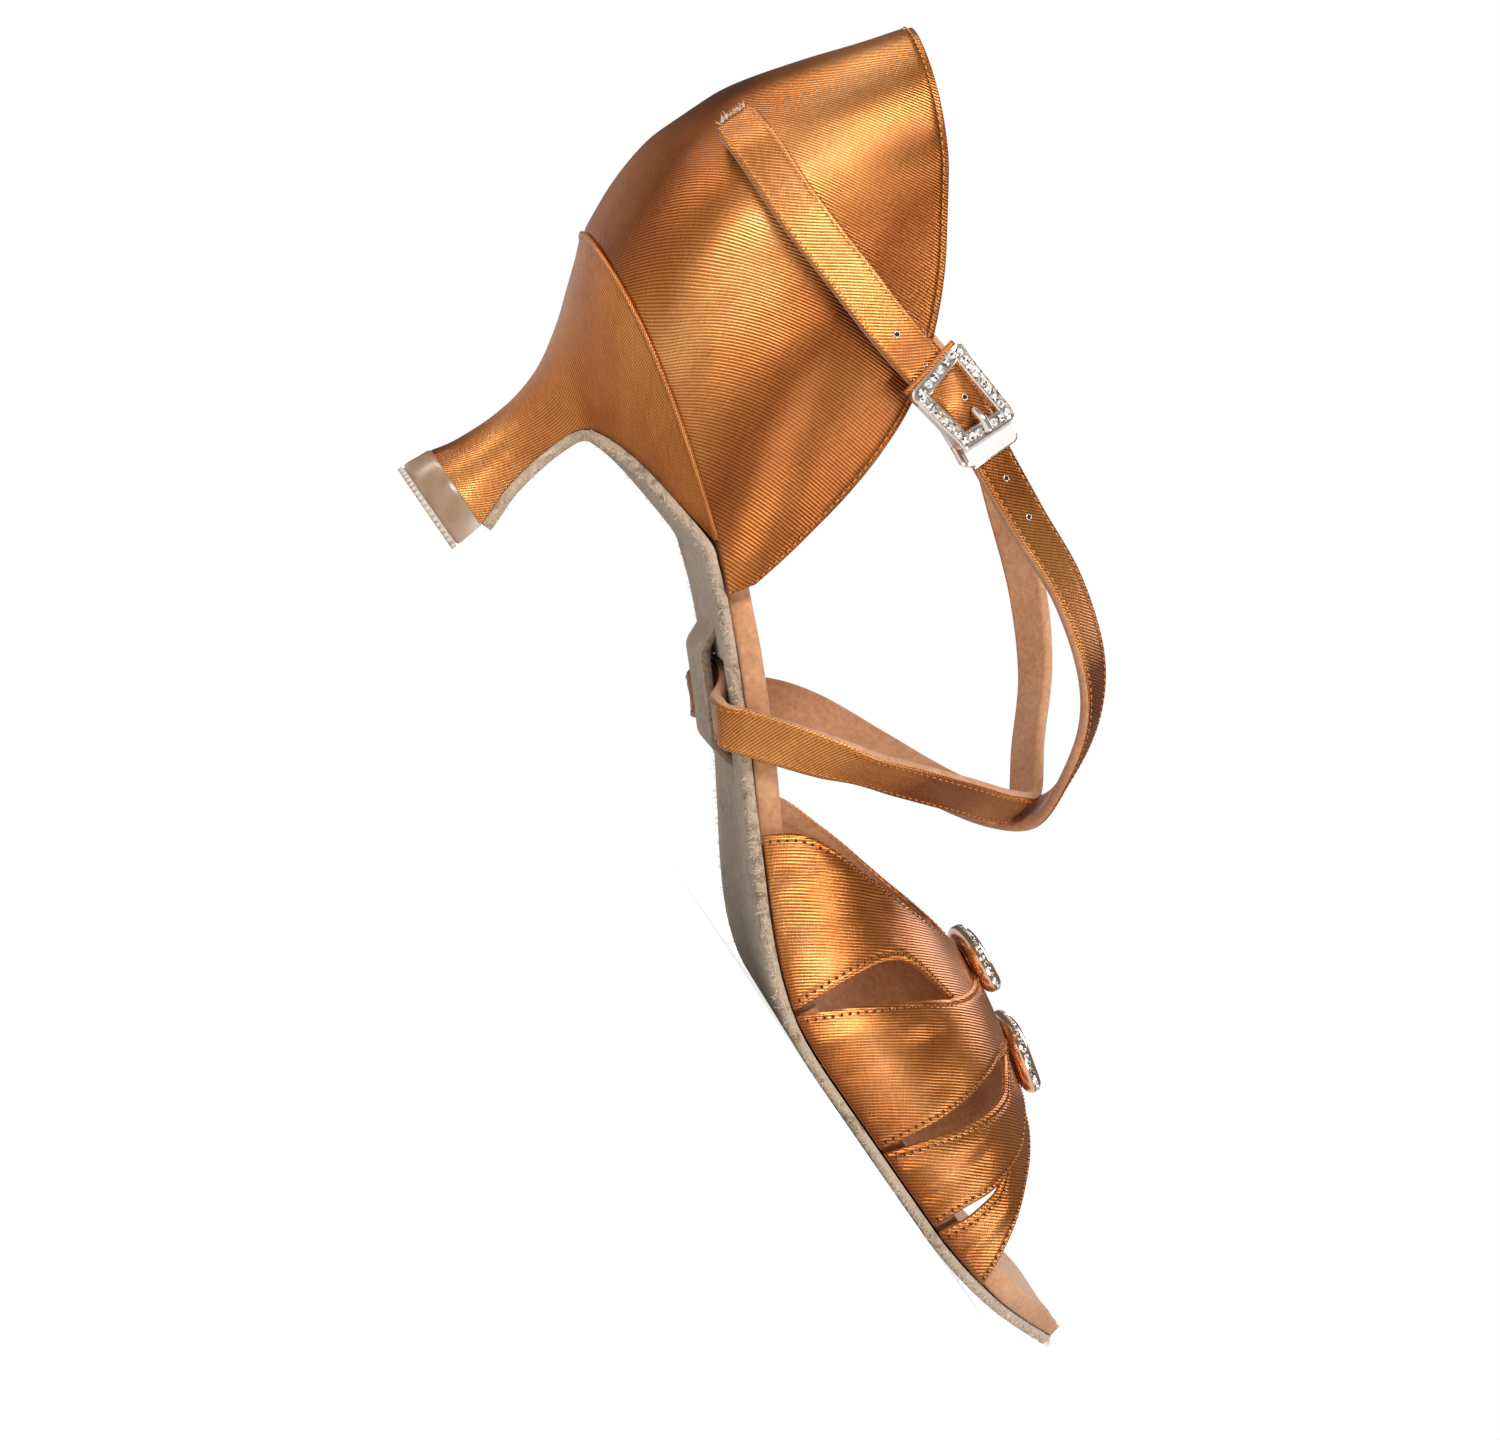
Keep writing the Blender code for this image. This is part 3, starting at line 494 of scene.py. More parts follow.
def make_outsole():
    """The suede: a sheet with a cut window, and the band that bridges it, its ends worked into the sheet."""
    wave = np.random.default_rng(7).uniform(-1, 1, 400)
    across = np.linspace(0, 1, 25)
    thin = [SOLE_THICK * (1 - EDGE_WORN * (abs(2 * s - 1) > 0.98)) for s in across]
    top, bottom = [], []
    for k, (place, lateral, medial, drop) in enumerate(sole_stations()):
        fray = EDGE_FRAY * (wave[k] + wave[k + 200])
        low, high = -lateral - fray, medial + fray
        top.append([place + sideways(low + s * (high - low)) for s in across])
        bottom.append([p + drop * thick for p, thick in zip(top[-1], thin)])
    sheet = wall_piece("outsole", bottom, top, [suede], 0)
    middle = TUNNEL_ALONG + TUNNEL_SLANT / 2
    drop = feather_normal(middle)
    cut_window(sheet, feather_point(middle), np.array([-drop[2], 0.0, drop[0]]), drop)
    reach = TUNNEL_LONG / SOLE_LENGTH
    top, bottom = [], []
    for along in np.linspace(middle - BAND_REACH * reach, middle + BAND_REACH * reach, 30):
        drop = feather_normal(along)
        depth = TUNNEL_DEEP * tunnel_rise(along, reach, BAND_RAMP) + GAP / 2
        centre = feather_point(along) + drop * depth
        row = [centre + sideways(s * TUNNEL_HALF_WIDTH) for s in np.linspace(-1, 1, 13)]
        top.append([p + drop * BAND_OFF for p in row])
        bottom.append([p + drop * BAND_THICK for p in row])
    band = smooth(wall_piece("outsole_tunnel_band", bottom, top, [suede, suede_cut, suede], 1))
    return fitted(sheet, "suede", "outsole_suede"), fitted(band, "suede", "outsole_suede")


make_outsole()


def row_tree(name, step, inputs):
    """A geometry tree that runs along a line: its inputs, even points on it and the way out of the cloth."""
    tree = bpy.data.node_groups.new(name, "GeometryNodeTree")
    for label, kind in {"Geometry": "Geometry", **inputs}.items():
        tree.interface.new_socket(label, in_out="INPUT", socket_type="NodeSocket" + kind)
    tree.interface.new_socket("Geometry", in_out="OUTPUT", socket_type="NodeSocketGeometry")
    given = add(tree, "NodeGroupInput").outputs
    curve = add(tree, "GeometryNodeMeshToCurve", {"Mesh": given["Geometry"]}).outputs["Curve"]
    spaced = add(tree, "GeometryNodeResampleCurve", {"Curve": curve, "Length": given[step]}, mode="LENGTH")
    out = add(tree, "GeometryNodeInputNamedAttribute", {"Name": "out"}, data_type="FLOAT_VECTOR")
    return tree, given, spaced.outputs["Curve"], out.outputs["Attribute"]


def scaled(tree, way, size):
    """A vector times a number, in a tree."""
    return add(tree, "ShaderNodeVectorMath", {0: way, "Scale": size}, operation="SCALE").outputs[0]


def turned_to(tree, way, axis, more=None, **settings):
    """A turn that lays an axis along a way."""
    sockets = {"Vector": way, **(more or {})}
    return add(tree, "FunctionNodeAlignRotationToVector", sockets, axis=axis, **settings).outputs["Rotation"]


def copies(tree, points, shape, turn, size):
    """Copies of a shape on points."""
    values = {"Points": points, "Instance": shape, "Rotation": turn, "Scale": size}
    return add(tree, "GeometryNodeInstanceOnPoints", values).outputs["Instances"]


def painted(tree, instances, material):
    """Copies as a plain mesh with a material."""
    real = add(tree, "GeometryNodeRealizeInstances", {"Geometry": instances}).outputs["Geometry"]
    return add(tree, "GeometryNodeSetMaterial", {"Geometry": real, "Material": material}).outputs["Geometry"]


def ended(tree, geometry):
    """The tree, once it gives out a geometry."""
    add(tree, "NodeGroupOutput", {"Geometry": geometry})
    return tree


def grown(name, points, outs, tree, values, closed=False):
    """A plain mesh from a geometry tree along a line of points, each with the way out of the surface."""
    mesh = bpy.data.meshes.new(name)
    edges = [(k, k + 1) for k in range(len(points) - 1)]
    if closed:
        edges.append((len(points) - 1, 0))
    mesh.from_pydata([tuple(map(float, p)) for p in points], edges, [])
    out = mesh.attributes.new("out", "FLOAT_VECTOR", "POINT")
    for item, value in zip(out.data, outs):
        item.vector = tuple(map(float, value))
    source = in_scene(name + "_line", mesh)
    change = source.modifiers.new("Grow", "NODES")
    change.node_group = tree
    sockets = {s.name: s.identifier for s in tree.interface.items_tree if s.in_out == "INPUT"}
    for label, value in values.items():
        change[sockets[label]] = value
    bpy.context.view_layer.update()
    baked = frozen(source)
    bpy.data.objects.remove(source)
    for vertex in baked.vertices:
        vertex.co.z = max(vertex.co.z, 0.0)
    return in_scene(name, baked)


def at_random(tree, low, high, seed):
    """A random number or vector for each point."""
    single = isinstance(low, float)
    values = {"Min": low, "Max": high, "Seed": seed}
    node = add(tree, "FunctionNodeRandomValue", values, data_type="FLOAT" if single else "FLOAT_VECTOR")
    return node.outputs[1 if single else 0]


def fuzz_tree():
    """Short fibres along a line, leaning outwards at random."""
    inputs = {label: "Float" for label in ("Spacing", "Length", "Thickness", "Spread")}
    inputs.update({"Seed": "Int", "Material": "Material"})
    tree, given, points, out = row_tree("suede_fuzz", "Spacing", inputs)
    spread = scaled(tree, at_random(tree, (-1, -1, -1), (1, 1, 1), given["Seed"]), given["Spread"])
    points = add(tree, "GeometryNodeSetPosition", {"Geometry": points, "Offset": spread}).outputs["Geometry"]
    lean = at_random(tree, (-1.1, -1.1, -1.1), (1.1, 1.1, 1.1), 5)
    way = add(tree, "ShaderNodeVectorMath", {0: out, 1: lean}).outputs[0]
    values = {"Vertices": 3, "Radius Bottom": given["Thickness"], "Depth": given["Length"]}
    fibre = add(tree, "GeometryNodeMeshCone", values, fill_type="NGON").outputs["Mesh"]
    placed = copies(tree, points, fibre, turned_to(tree, way, "Z"), at_random(tree, 0.4, 1.2, 11))
    return ended(tree, painted(tree, placed, given["Material"]))


fibre_look = new_look("suede_fibre", SUEDE_PALE, 1.0, more={"Sheen Weight": 0.3})[0]
fuzz = fuzz_tree()
for fuzz_side, fuzz_word in ((-1, "lateral"), (1, "medial")):
    edge_points, edge_outs = [], []
    for place, lateral, medial, drop in sole_stations():
        half = lateral if fuzz_side < 0 else medial
        edge_points.append(place + sideways(fuzz_side * half) + drop * SOLE_THICK * FUZZ_LEVEL)
        edge_outs.append(sideways(fuzz_side) + drop * FUZZ_DROOP)
    fuzz_values = {
        "Spacing": 0.00011,
        "Length": 0.0013,
        "Thickness": 0.00006,
        "Spread": 0.0007,
        "Seed": 3,
        "Material": fibre_look,
    }
    fibres = grown(f"outsole_fuzz_{fuzz_word}", edge_points, edge_outs, fuzz, fuzz_values)
    fitted(fibres, "suede", "outsole_suede")

# The insole
# A padded board under tan microfibre, lasted round the waist and the toe, where its side shows above the
# suede. Behind the heel cup and the vamp it stays inside their walls.

INSOLE_THICK = 0.0042
QUARTER_WALL = 0.0018
QUARTER_FRONT = 0.296
VAMP_FROM = 0.459
VAMP_TO = 0.874
DISH = 0.10
INSET_FADE = 0.03
RIM_ROUND = 0.10
TIP_FROM = 0.95
MICROFIBRE = (0.520, 0.255, 0.125)
MICROFIBRE_PALE = (0.610, 0.325, 0.175)
MICROFIBRE_DEEP = (0.430, 0.195, 0.088)


def microfibre_look(name):
    """Fine brushed microfibre with faint pores and pale rubbed places."""
    more = {"Sheen Weight": 0.25, "Specular IOR Level": 0.2}
    look, tree, shader = new_look(name, MICROFIBRE, 0.85, more=more)
    where = shoe_place(tree)
    nap = noise(tree, where, 900, 4.0, 0.6)
    mixed = weighted(tree, (nap, 0.5), (noise(tree, where, 70), 0.5))
    coloured(tree, shader, mixed, [(0.38, MICROFIBRE_DEEP), (0.5, MICROFIBRE), (0.64, MICROFIBRE_PALE)])
    pores = add(tree, "ShaderNodeTexVoronoi", {"Vector": where, "Scale": 700}).outputs["Distance"]
    pore = maths(tree, "MINIMUM", pores, 0.25)
    bump(tree, shader, weighted(tree, (pore, 2.0), (nap, 1)), 0.0002, 0.6)
    return look


microfibre = microfibre_look("microfibre")


def insole_inset(along):
    """How far the insole stays inside the last's outline."""
    behind_quarter = 1 - eased((along - QUARTER_FRONT - 0.004) / INSET_FADE)
    behind_vamp = eased((along - VAMP_FROM + 0.034) / INSET_FADE)
    behind_vamp *= 1 - eased((along - VAMP_TO) / INSET_FADE)
    return (QUARTER_WALL + 3 * GAP) * max(behind_quarter, behind_vamp) + GAP


def insole_half(along, side):
    """Half width of the insole, inside the heel cup's wall at the back."""
    inset = insole_inset(along)
    if along >= SEAT_ARC:
        return outline(along, side) - min(inset, 0.4 * (outline(along, -1) + outline(along, 1)))
    radius = SEAT_ARC * SOLE_LENGTH
    away = (SEAT_ARC - along) * SOLE_LENGTH / (radius - inset)
    return (outline(SEAT_ARC, side) - inset) * math.sqrt(max(1 - away * away, 0.0))


def make_insole():
    """The insole, dished under the foot and rounded at its rim."""
    across = [0.0, 0.012, 0.04] + list(np.linspace(0.1, 0.9, 13)) + [0.96, 0.988, 1.0]
    top, bottom = [], []
    start = 1.05 * insole_inset(0.0) / SOLE_LENGTH
    for share in end_spread(80):
        along = start + share * (0.9995 - start)
        low, high = -insole_half(along, -1), insole_half(along, 1)
        up = -feather_normal(along)
        row = [feather_point(along) + up * GAP / 2 + sideways(low + s * (high - low)) for s in across]
        bottom.append(row)
        rim = (1 if share > 0.005 else 0.8) * (1 - 0.5 * eased((along - TIP_FROM) / (1 - TIP_FROM)))
        shapes = [1 - DISH * 4 * s * (1 - s) - RIM_ROUND * (s in (0.0, 1.0)) for s in across]
        top.append([p + up * INSOLE_THICK * rim * shape for p, shape in zip(row, shapes)])
    return fitted(smooth(wall_piece("insole_cover", top, bottom, [microfibre])), "microfibre", "insole")


make_insole()

# The heel
# A flared heel covered in satin drawn tight and glued, with a rolled seam where it meets the seat. The clear
# cap under it is glossy, and the ribbed rubber top piece is what touches the floor.

TOP_PIECE_THICK = 0.001
CAP_HEIGHT = 0.0065
CAP_FLARE = 0.0006
RIB_PITCH = 0.0011
RIB_SHAPE = [
    # along the rim in pitches, outwards
    (-0.36, -0.0002),
    (-0.26, 0.0005),
    (0.26, 0.0005),
    (0.36, -0.0002),
]
SEAM_RADIUS = 0.0005
CORE_INSET = 0.0005
SATIN = (0.445, 0.140, 0.029)
SATIN_PALE = (0.720, 0.310, 0.095)
SATIN_DEEP = (0.215, 0.050, 0.007)
CAP_BROWN = (0.250, 0.150, 0.085)
CAP_PALE = (0.330, 0.210, 0.125)
RUBBER_TAN = (0.600, 0.520, 0.430)
# Painted highlight and shade on the heel's satin: a bright band in the lower heel, towards its breast, with
# darker streaks behind it.
HEEL_PAINTED_SHINE = (
    # way, height under which it shows, bands of painted highlight and shade
    (0.97, 0.0, 0.24),
    0.028,
    [
        # place, colour factor: under one painted shade, over one painted highlight
        (-0.1440, (0.90, 0.86, 0.80)),
        (-0.1395, (0.52, 0.42, 0.34)),
        (-0.1365, (0.75, 0.70, 0.62)),
        (-0.1325, (1.45, 1.75, 2.10)),
        (-0.1275, (1.25, 1.40, 1.50)),
        (-0.1230, (0.85, 0.80, 0.72)),
    ],
)


def painted_shine_bands(tree, colour, way, below, stops):
    """Painted highlight and shade: broad bands across a way, multiplied into the colour where the cloth lies
    below a height.
    """
    where = shoe_place(tree)
    across = add(tree, "ShaderNodeVectorMath", {0: where, 1: way}, operation="DOT_PRODUCT").outputs["Value"]
    drift = maths(tree, "MULTIPLY", maths(tree, "SUBTRACT", noise(tree, where, 38, 2.0), 0.5), 0.010)
    place = maths(tree, "ADD", across, drift)
    first, last = stops[0][0], stops[-1][0]
    share = maths(tree, "DIVIDE", maths(tree, "SUBTRACT", place, first), last - first)
    shine_tint = ramp(tree, share, [((at - first) / (last - first), shade) for at, shade in stops])
    height = add(tree, "ShaderNodeSeparateXYZ", {"Vector": where}).outputs["Z"]
    values = {"Value": height, "From Min": below, "From Max": below * 0.5}
    amount = add(tree, "ShaderNodeMapRange", values, interpolation_type="SMOOTHSTEP").outputs["Result"]
    mixed = add(tree, "ShaderNodeMix", data_type="RGBA", blend_type="MULTIPLY")
    for label, source in (("Factor_Float", amount), ("A_Color", colour), ("B_Color", shine_tint)):
        tree.links.new(source, next(s for s in mixed.inputs if s.identifier == label))
    return next(s for s in mixed.outputs if s.identifier == "Result_Color")


def satin_look(name, pitch, lean, shine, relief, painted_shine=None):
    """Satin: a twill of fine slanting floats drawn out along the warp, with a broad soft shine, soft patches
    of painted sheen and shade, and given bands of painted highlight and shade.
    """
    more = {"Specular IOR Level": 0.28, "Coat Weight": 0.05, "Coat Roughness": 0.26}
    look, tree, shader = new_look(name, SATIN, 0.29, shine, more)
    flat = add(tree, "ShaderNodeUVMap", uv_map="cloth").outputs["UV"]
    warp = add(tree, "ShaderNodeMapping", {"Vector": flat, "Rotation": (0.0, 0.0, lean)}).outputs["Vector"]
    values = {"Vector": warp, "Scale": math.pi / 10 / pitch}
    values.update({"Distortion": 0.6, "Detail": 1.0, "Detail Scale": 0.4})
    wave = add(tree, "ShaderNodeTexWave", values, wave_type="BANDS", bands_direction="X").outputs["Fac"]
    drawn = add(tree, "ShaderNodeMapping", {"Vector": warp, "Scale": (1.0, 9.0, 1.0)}).outputs["Vector"]
    floats = noise(tree, drawn, 420)
    # The broad noise (45 per metre) paints soft patches of sheen and shade into the colour; the floats and
    # the twill wave are the weave's own pattern.
    mixed = weighted(tree, (floats, 0.35), (noise(tree, flat, 45, 2.0), 0.35), (wave, 0.30))
    colour = ramp(tree, mixed, [(0.26, SATIN_DEEP), (0.50, SATIN), (0.76, SATIN_PALE)])
    # Where given, bands of painted highlight and shade are multiplied into the colour.
    if painted_shine:
        colour = painted_shine_bands(tree, colour, *painted_shine)
    tree.links.new(colour, shader.inputs["Base Color"])
    bump(tree, shader, weighted(tree, (wave, 0.6), (floats, 0.4)), 0.0001, relief)
    return look


satin_edge = satin_look("satin_fold", 0.00040, 0.9, 0.45, 0.7)
heel_satin = satin_look("heel_satin", 0.00046, 1.25, 0.62, 0.7, HEEL_PAINTED_SHINE)


def ring_piece(name, rings, looks, crisp=None, closed=False):
    """A solid through rings of points, capped at both ends or closed on itself."""
    sides = len(rings[0])
    total = len(rings) * sides
    faces = []
    for first in range(0, total if closed else total - sides, sides):
        after = (first + sides) % total
        for i in range(sides):
            j = (i + 1) % sides
            faces.append((first + i, first + j, after + j, after + i))
    if not closed:
        faces += [tuple(range(sides)), tuple(range(total - sides, total))]
    flat = [tuple(f) for row in spread_lengths(rings) for f in row]
    made = mesh_piece(name, [p for ring in rings for p in ring], faces, flat, looks, [0] * len(faces))
    if crisp is not None:
        made.data.set_sharp_from_angle(angle=crisp)
    return made


def heel_ring(back, breast, halves):
    """One ring of the heel between its back and breast points, through the given half widths."""
    places = []
    for share in [(k / 18) ** 1.7 for k in range(1, 19)]:
        places.append((back + (breast - back) * share, sideways(halves(share))))
    return [p + aside for p, aside in places[::-1]] + [back] + [p - aside for p, aside in places]


def make_heel():
    """The heel; it gives back the seat's rim, on which the rolled seam is laid."""
    rings = []
    for back, back_up, breast, breast_up, width, arc in heel_sections(48):
        low = np.array([heel_x(back), 0.0, heel_z(back_up)])
        high = np.array([heel_x(breast), 0.0, heel_z(breast_up)])
        rings.append(heel_ring(low, high, lambda share, w=width, a=arc: heel_half(w, share, a)))
    wing = HEEL_LENGTH / SOLE_LENGTH
    seat = heel_ring(
        np.array([x_of(0.0), 0.0, 0.0]),
        np.array([x_of(wing), 0.0, 0.0]),
        lambda share: outline(max(share * wing, 0.0), -1),
    )
    for p in seat:
        p[2] = feather(p[0] / SOLE_LENGTH + TREAD) - GAP / 2
    rings.append(seat)
    heel = ring_piece("heel_cover", rings, [heel_satin], math.radians(50))
    fitted(heel, "satin", "heel")
    return seat


def tube(name, line, radius, look, sides=8, closed=False):
    """A round cord along a line of points."""
    line = np.array(line, float)
    if closed:
        tangents = np.roll(line, -1, axis=0) - np.roll(line, 1, axis=0)
    else:
        tangents = np.gradient(line, axis=0)
    tangents /= np.linalg.norm(tangents, axis=1)[:, None]
    start = np.array([0, 0, 1.0]) if abs(tangents[0][2]) < 0.9 else np.array([0, 1.0, 0])
    turns = [2 * math.pi * i / sides for i in range(sides)]
    rings = []
    for p, t, r in zip(line, tangents, np.broadcast_to(radius, (len(line),))):
        start = unit(start - t * np.dot(start, t))
        other = np.cross(t, start)
        rings.append([p + (start * math.cos(a) + other * math.sin(a)) * r for a in turns])
    return ring_piece(name, rings, [look], closed=closed)


seat_rim = make_heel()
seam_line = [p + np.array([0, 0, GAP]) for p in seat_rim]
fitted(tube("heel_seam_roll", seam_line, SEAM_RADIUS, satin_edge), "satin", "heel")

clear, clear_tree, clear_shader = new_look(
    "clear_cap", CAP_BROWN, 0.30, more={"Coat Weight": 0.5, "Coat Roughness": 0.22},
)
clear_cloud = noise(clear_tree, shoe_place(clear_tree), 160, 2.0)
coloured(clear_tree, clear_shader, clear_cloud, [(0.4, CAP_BROWN), (0.62, CAP_PALE)])
rubber, rubber_tree, rubber_shader = new_look("rubber", RUBBER_TAN, 0.55)
bump(rubber_tree, rubber_shader, noise(rubber_tree, shoe_place(rubber_tree), 900), 0.0001, 0.4)


def cap_ring(z, flare):
    """A level ring of the heel's foot."""
    back, _, breast, _, width, arc = HEEL[0]
    rear = np.array([heel_x(back) - flare, 0.0, z])
    front = np.array([heel_x(breast) + flare, 0.0, z])
    return heel_ring(rear, front, lambda s: heel_half(width, s, arc) + flare * min(s / arc, 1))


def inset_ring(ring, inset):
    """A ring drawn in towards its middle."""
    middle = np.mean(ring, axis=0)
    return [p - unit((p - middle) * np.array([1, 1, 0])) * inset for p in ring]


def make_cap():
    """The clear cap, with eased edges, and the ribbed top piece under it."""
    low, high = TOP_PIECE_THICK + GAP, CAP_HEIGHT + GAP
    levels = [(low, CAP_FLARE - 0.0002), (low + 0.0003, CAP_FLARE), (low + 0.0008, CAP_FLARE)]
    levels += [(high - 0.0009, 0.0003), (high - 0.0003, 0.0002), (high, -0.0001)]
    cap = ring_piece("heel_cap_shell", [cap_ring(z, flare) for z, flare in levels], [clear], math.radians(35))
    fitted(cap, "clear_plastic", "heel_cap")
    inner = inset_ring(cap_ring(0.0, CAP_FLARE), CORE_INSET)
    core = [[p + np.array([0, 0, z]) for p in inner] for z in (0.0, TOP_PIECE_THICK + GAP)]
    fitted(ring_piece("top_piece_core", core, [rubber], math.radians(35)), "rubber", "top_piece")
    return inner


def make_ribs(rim):
    """The top piece's ribs, short blocks side by side along its rim."""
    line = np.array(rim + [rim[0]])
    far = run_lengths(line)
    middle = np.mean(rim, axis=0)
    points, faces = [], []
    for at in np.arange(0.5 * RIB_PITCH, far[-1], RIB_PITCH):
        base = on_line(line, far, at)
        along_rim = unit(on_line(line, far, at + 0.0001) - base)
        outwards = np.cross(along_rim, np.array([0, 0, 1.0]))
        if np.dot(outwards, base - middle) < 0:
            outwards = -outwards
        first = len(points)
        for height in (0.0, TOP_PIECE_THICK):
            for way, reach in RIB_SHAPE:
                corner = base + along_rim * way * RIB_PITCH + outwards * reach
                points.append(corner + np.array([0, 0, height]))
        for k in range(4):
            m = (k + 1) % 4
            faces.append((first + k, first + m, first + 4 + m, first + 4 + k))
        faces += [tuple(range(first, first + 4)), tuple(range(first + 4, first + 8))]
    flat = [(p[0], p[1]) for p in points]
    ribs = mesh_piece("top_piece_ribs", points, faces, flat, [rubber], [0] * len(faces))
    return fitted(ribs, "rubber", "top_piece")


make_ribs(make_cap())

# The quarter
# A closed heel cup of satin over a stiff counter, lined with microfibre. Its topline rises to a peak at
# the back, its edge is folded in and stitched, and the satin is drawn in small puckers over the feather.

COUNTER_HEIGHT = 0.0697
ARC_SHARE = 0.4
COUNTER = [
    # lift, behind, width
    (0.00, 0.000, 1.000),
    (0.13, 0.062, 1.055),
    (0.29, 0.106, 1.090),
    (0.48, 0.106, 1.090),
    (0.70, 0.056, 1.030),
    (0.87, 0.004, 0.930),
    (1.00, -0.030, 0.840),
]
TOPLINE = [
    # around, lift
    (0.000, 1.000),
    (0.100, 0.985),
    (0.196, 0.962),
    (0.307, 0.924),
    (0.400, 0.885),
    (0.527, 0.826),
    (0.654, 0.765),
    (0.745, 0.705),
    (0.868, 0.585),
    (0.915, 0.490),
    (0.950, 0.376),
    (0.975, 0.248),
    (0.990, 0.155),
    (1.000, 0.075),
]
QUARTER_CREASES = [
    # side, around, lift, to around, to lift, width, depth
    (-1, 0.93, 0.10, 0.70, 0.42, 0.0032, -0.00030),
    (-1, 0.88, 0.05, 0.62, 0.30, 0.0030, 0.00026),
    (-1, 0.80, 0.60, 0.55, 0.40, 0.0020, -0.00025),
    (-1, 0.36, 0.00, 0.30, 0.13, 0.0012, -0.00020),
    (-1, 0.22, 0.00, 0.20, 0.11, 0.0012, 0.00018),
    (-1, 0.52, 0.00, 0.50, 0.10, 0.0012, -0.00018),
    (1, 0.92, 0.12, 0.68, 0.40, 0.0032, -0.00030),
    (1, 0.78, 0.58, 0.60, 0.42, 0.0020, -0.00025),
    (1, 0.30, 0.00, 0.28, 0.12, 0.0012, -0.00020),
    (1, 0.48, 0.00, 0.46, 0.10, 0.0012, 0.00018),
]
# Painted highlight and shade on the heel cup: diagonal bright and dark bands multiplied into the satin's
# colour.
QUARTER_PAINTED_SHINE = (
    # way, height under which it shows, bands of painted highlight and shade
    (0.937, 0.0, 0.350),
    1.0,
    [
        # place, colour factor: under one painted shade, over one painted highlight
        (-0.142, (1.00, 1.02, 1.05)),
        (-0.134, (0.88, 0.84, 0.80)),
        (-0.127, (0.40, 0.28, 0.21)),
        (-0.119, (0.84, 0.80, 0.72)),
        (-0.111, (1.18, 1.42, 1.75)),
        (-0.102, (1.02, 1.08, 1.15)),
        (-0.090, (0.52, 0.40, 0.32)),
        (-0.080, (0.78, 0.74, 0.68)),
        (-0.070, (0.58, 0.48, 0.40)),
    ],
)
STITCH_PITCH = 0.0015
STITCH_INSET = 0.0012
GROOVE_WIDTH = 0.0004
QUARTER_GROOVE = 0.00022
TOPLINE_FOLD = 0.00035
FOLD_FROM = 0.97
CREST_LEAST = 0.12
FEATHER_REACH = 0.985
THREAD_SHARE = 0.66
THREAD_WIDTH = 0.0004
PINHOLE_WIDTH = 0.00032
THREAD = (0.560, 0.220, 0.045)


def quarter_point(around, lift, side):
    """A point of the heel cup's outer face: around from its back, lift over the feather line."""
    behind = read(COUNTER, lift, 1) * COUNTER_HEIGHT
    wide = read(COUNTER, lift, 2)
    back = x_of(0.0) - behind
    arc_end = back + SEAT_ARC * SOLE_LENGTH
    if around < ARC_SHARE:
        turn = around / ARC_SHARE * math.pi / 2
        x = arc_end - SEAT_ARC * SOLE_LENGTH * math.cos(turn)
        half = outline(SEAT_ARC, side) * wide * math.sin(turn)
    else:
        straight = (around - ARC_SHARE) / (1 - ARC_SHARE)
        x = arc_end + (x_of(QUARTER_FRONT) - arc_end) * straight
        along = max(x / SOLE_LENGTH + TREAD, SEAT_ARC)
        half = outline(along, side) * (1 + (wide - 1) * (1 - 0.35 * straight))
    along = x / SOLE_LENGTH + TREAD
    return np.array([x, side * half, feather(along) + GAP / 2 + lift * COUNTER_HEIGHT])


def quarter_normal(around, lift, side):
    """Unit normal of the heel cup, outwards."""
    if around < 0.002:
        slope = quarter_point(0.0, lift + 0.01, 1) - quarter_point(0.0, max(lift - 0.01, 0), 1)
        return unit(np.array([-slope[2], 0.0, slope[0]]))
    ahead, behind = min(around + 0.004, 1.0), max(around - 0.004, 0.0)
    a = quarter_point(ahead, lift, side) - quarter_point(behind, lift, side)
    b = quarter_point(around, lift + 0.01, side) - quarter_point(around, max(lift - 0.01, 0), side)
    return unit(np.cross(a, b) * -side)


def crease_height(place, line, width, depth):
    """Height of one soft trough or ridge, fading out at its ends."""
    start, end = line
    run = end - start
    t = float(np.dot(place - start, run) / np.dot(run, run))
    away = np.linalg.norm(place - start - run * min(max(t, 0.0), 1.0))
    return depth * math.exp(-(away / width) ** 2)


def crease_lines(creases, point_at):
    """Each crease as its two ends, its width and its depth."""
    return [
        ((point_at(a, b, side), point_at(c, d, side)), width, depth)
        for side, a, b, c, d, width, depth in creases
    ]


def groove(rim, depth):
    """The groove that a row of stitches draws into the cloth near its edge."""
    away = (rim - STITCH_INSET) / GROOVE_WIDTH
    return depth * math.exp(-away * away)


def topline_row(share):
    """Around and lift of the topline at a share of its own length."""
    far = [0.0]
    for (a, b), (c, d) in zip(TOPLINE, TOPLINE[1:]):
        far.append(far[-1] + math.hypot((c - a) * 0.9, d - b))
    table = [(f, a, b) for f, (a, b) in zip(far, TOPLINE)]
    return read(table, share * far[-1], 1), read(table, share * far[-1], 2)


def cup_place(share, step):
    """Around and lift at a share of the topline and a step up from the feather."""
    crest = topline_row(share)
    foot = share * FEATHER_REACH
    return foot + (crest[0] - foot) * step, crest[1] * step


quarter_lines = crease_lines(QUARTER_CREASES, quarter_point)


def crest_height(share):
    """Height of the topline over the feather at a share of its length."""
    return max(topline_row(share)[1], CREST_LEAST) * COUNTER_HEIGHT


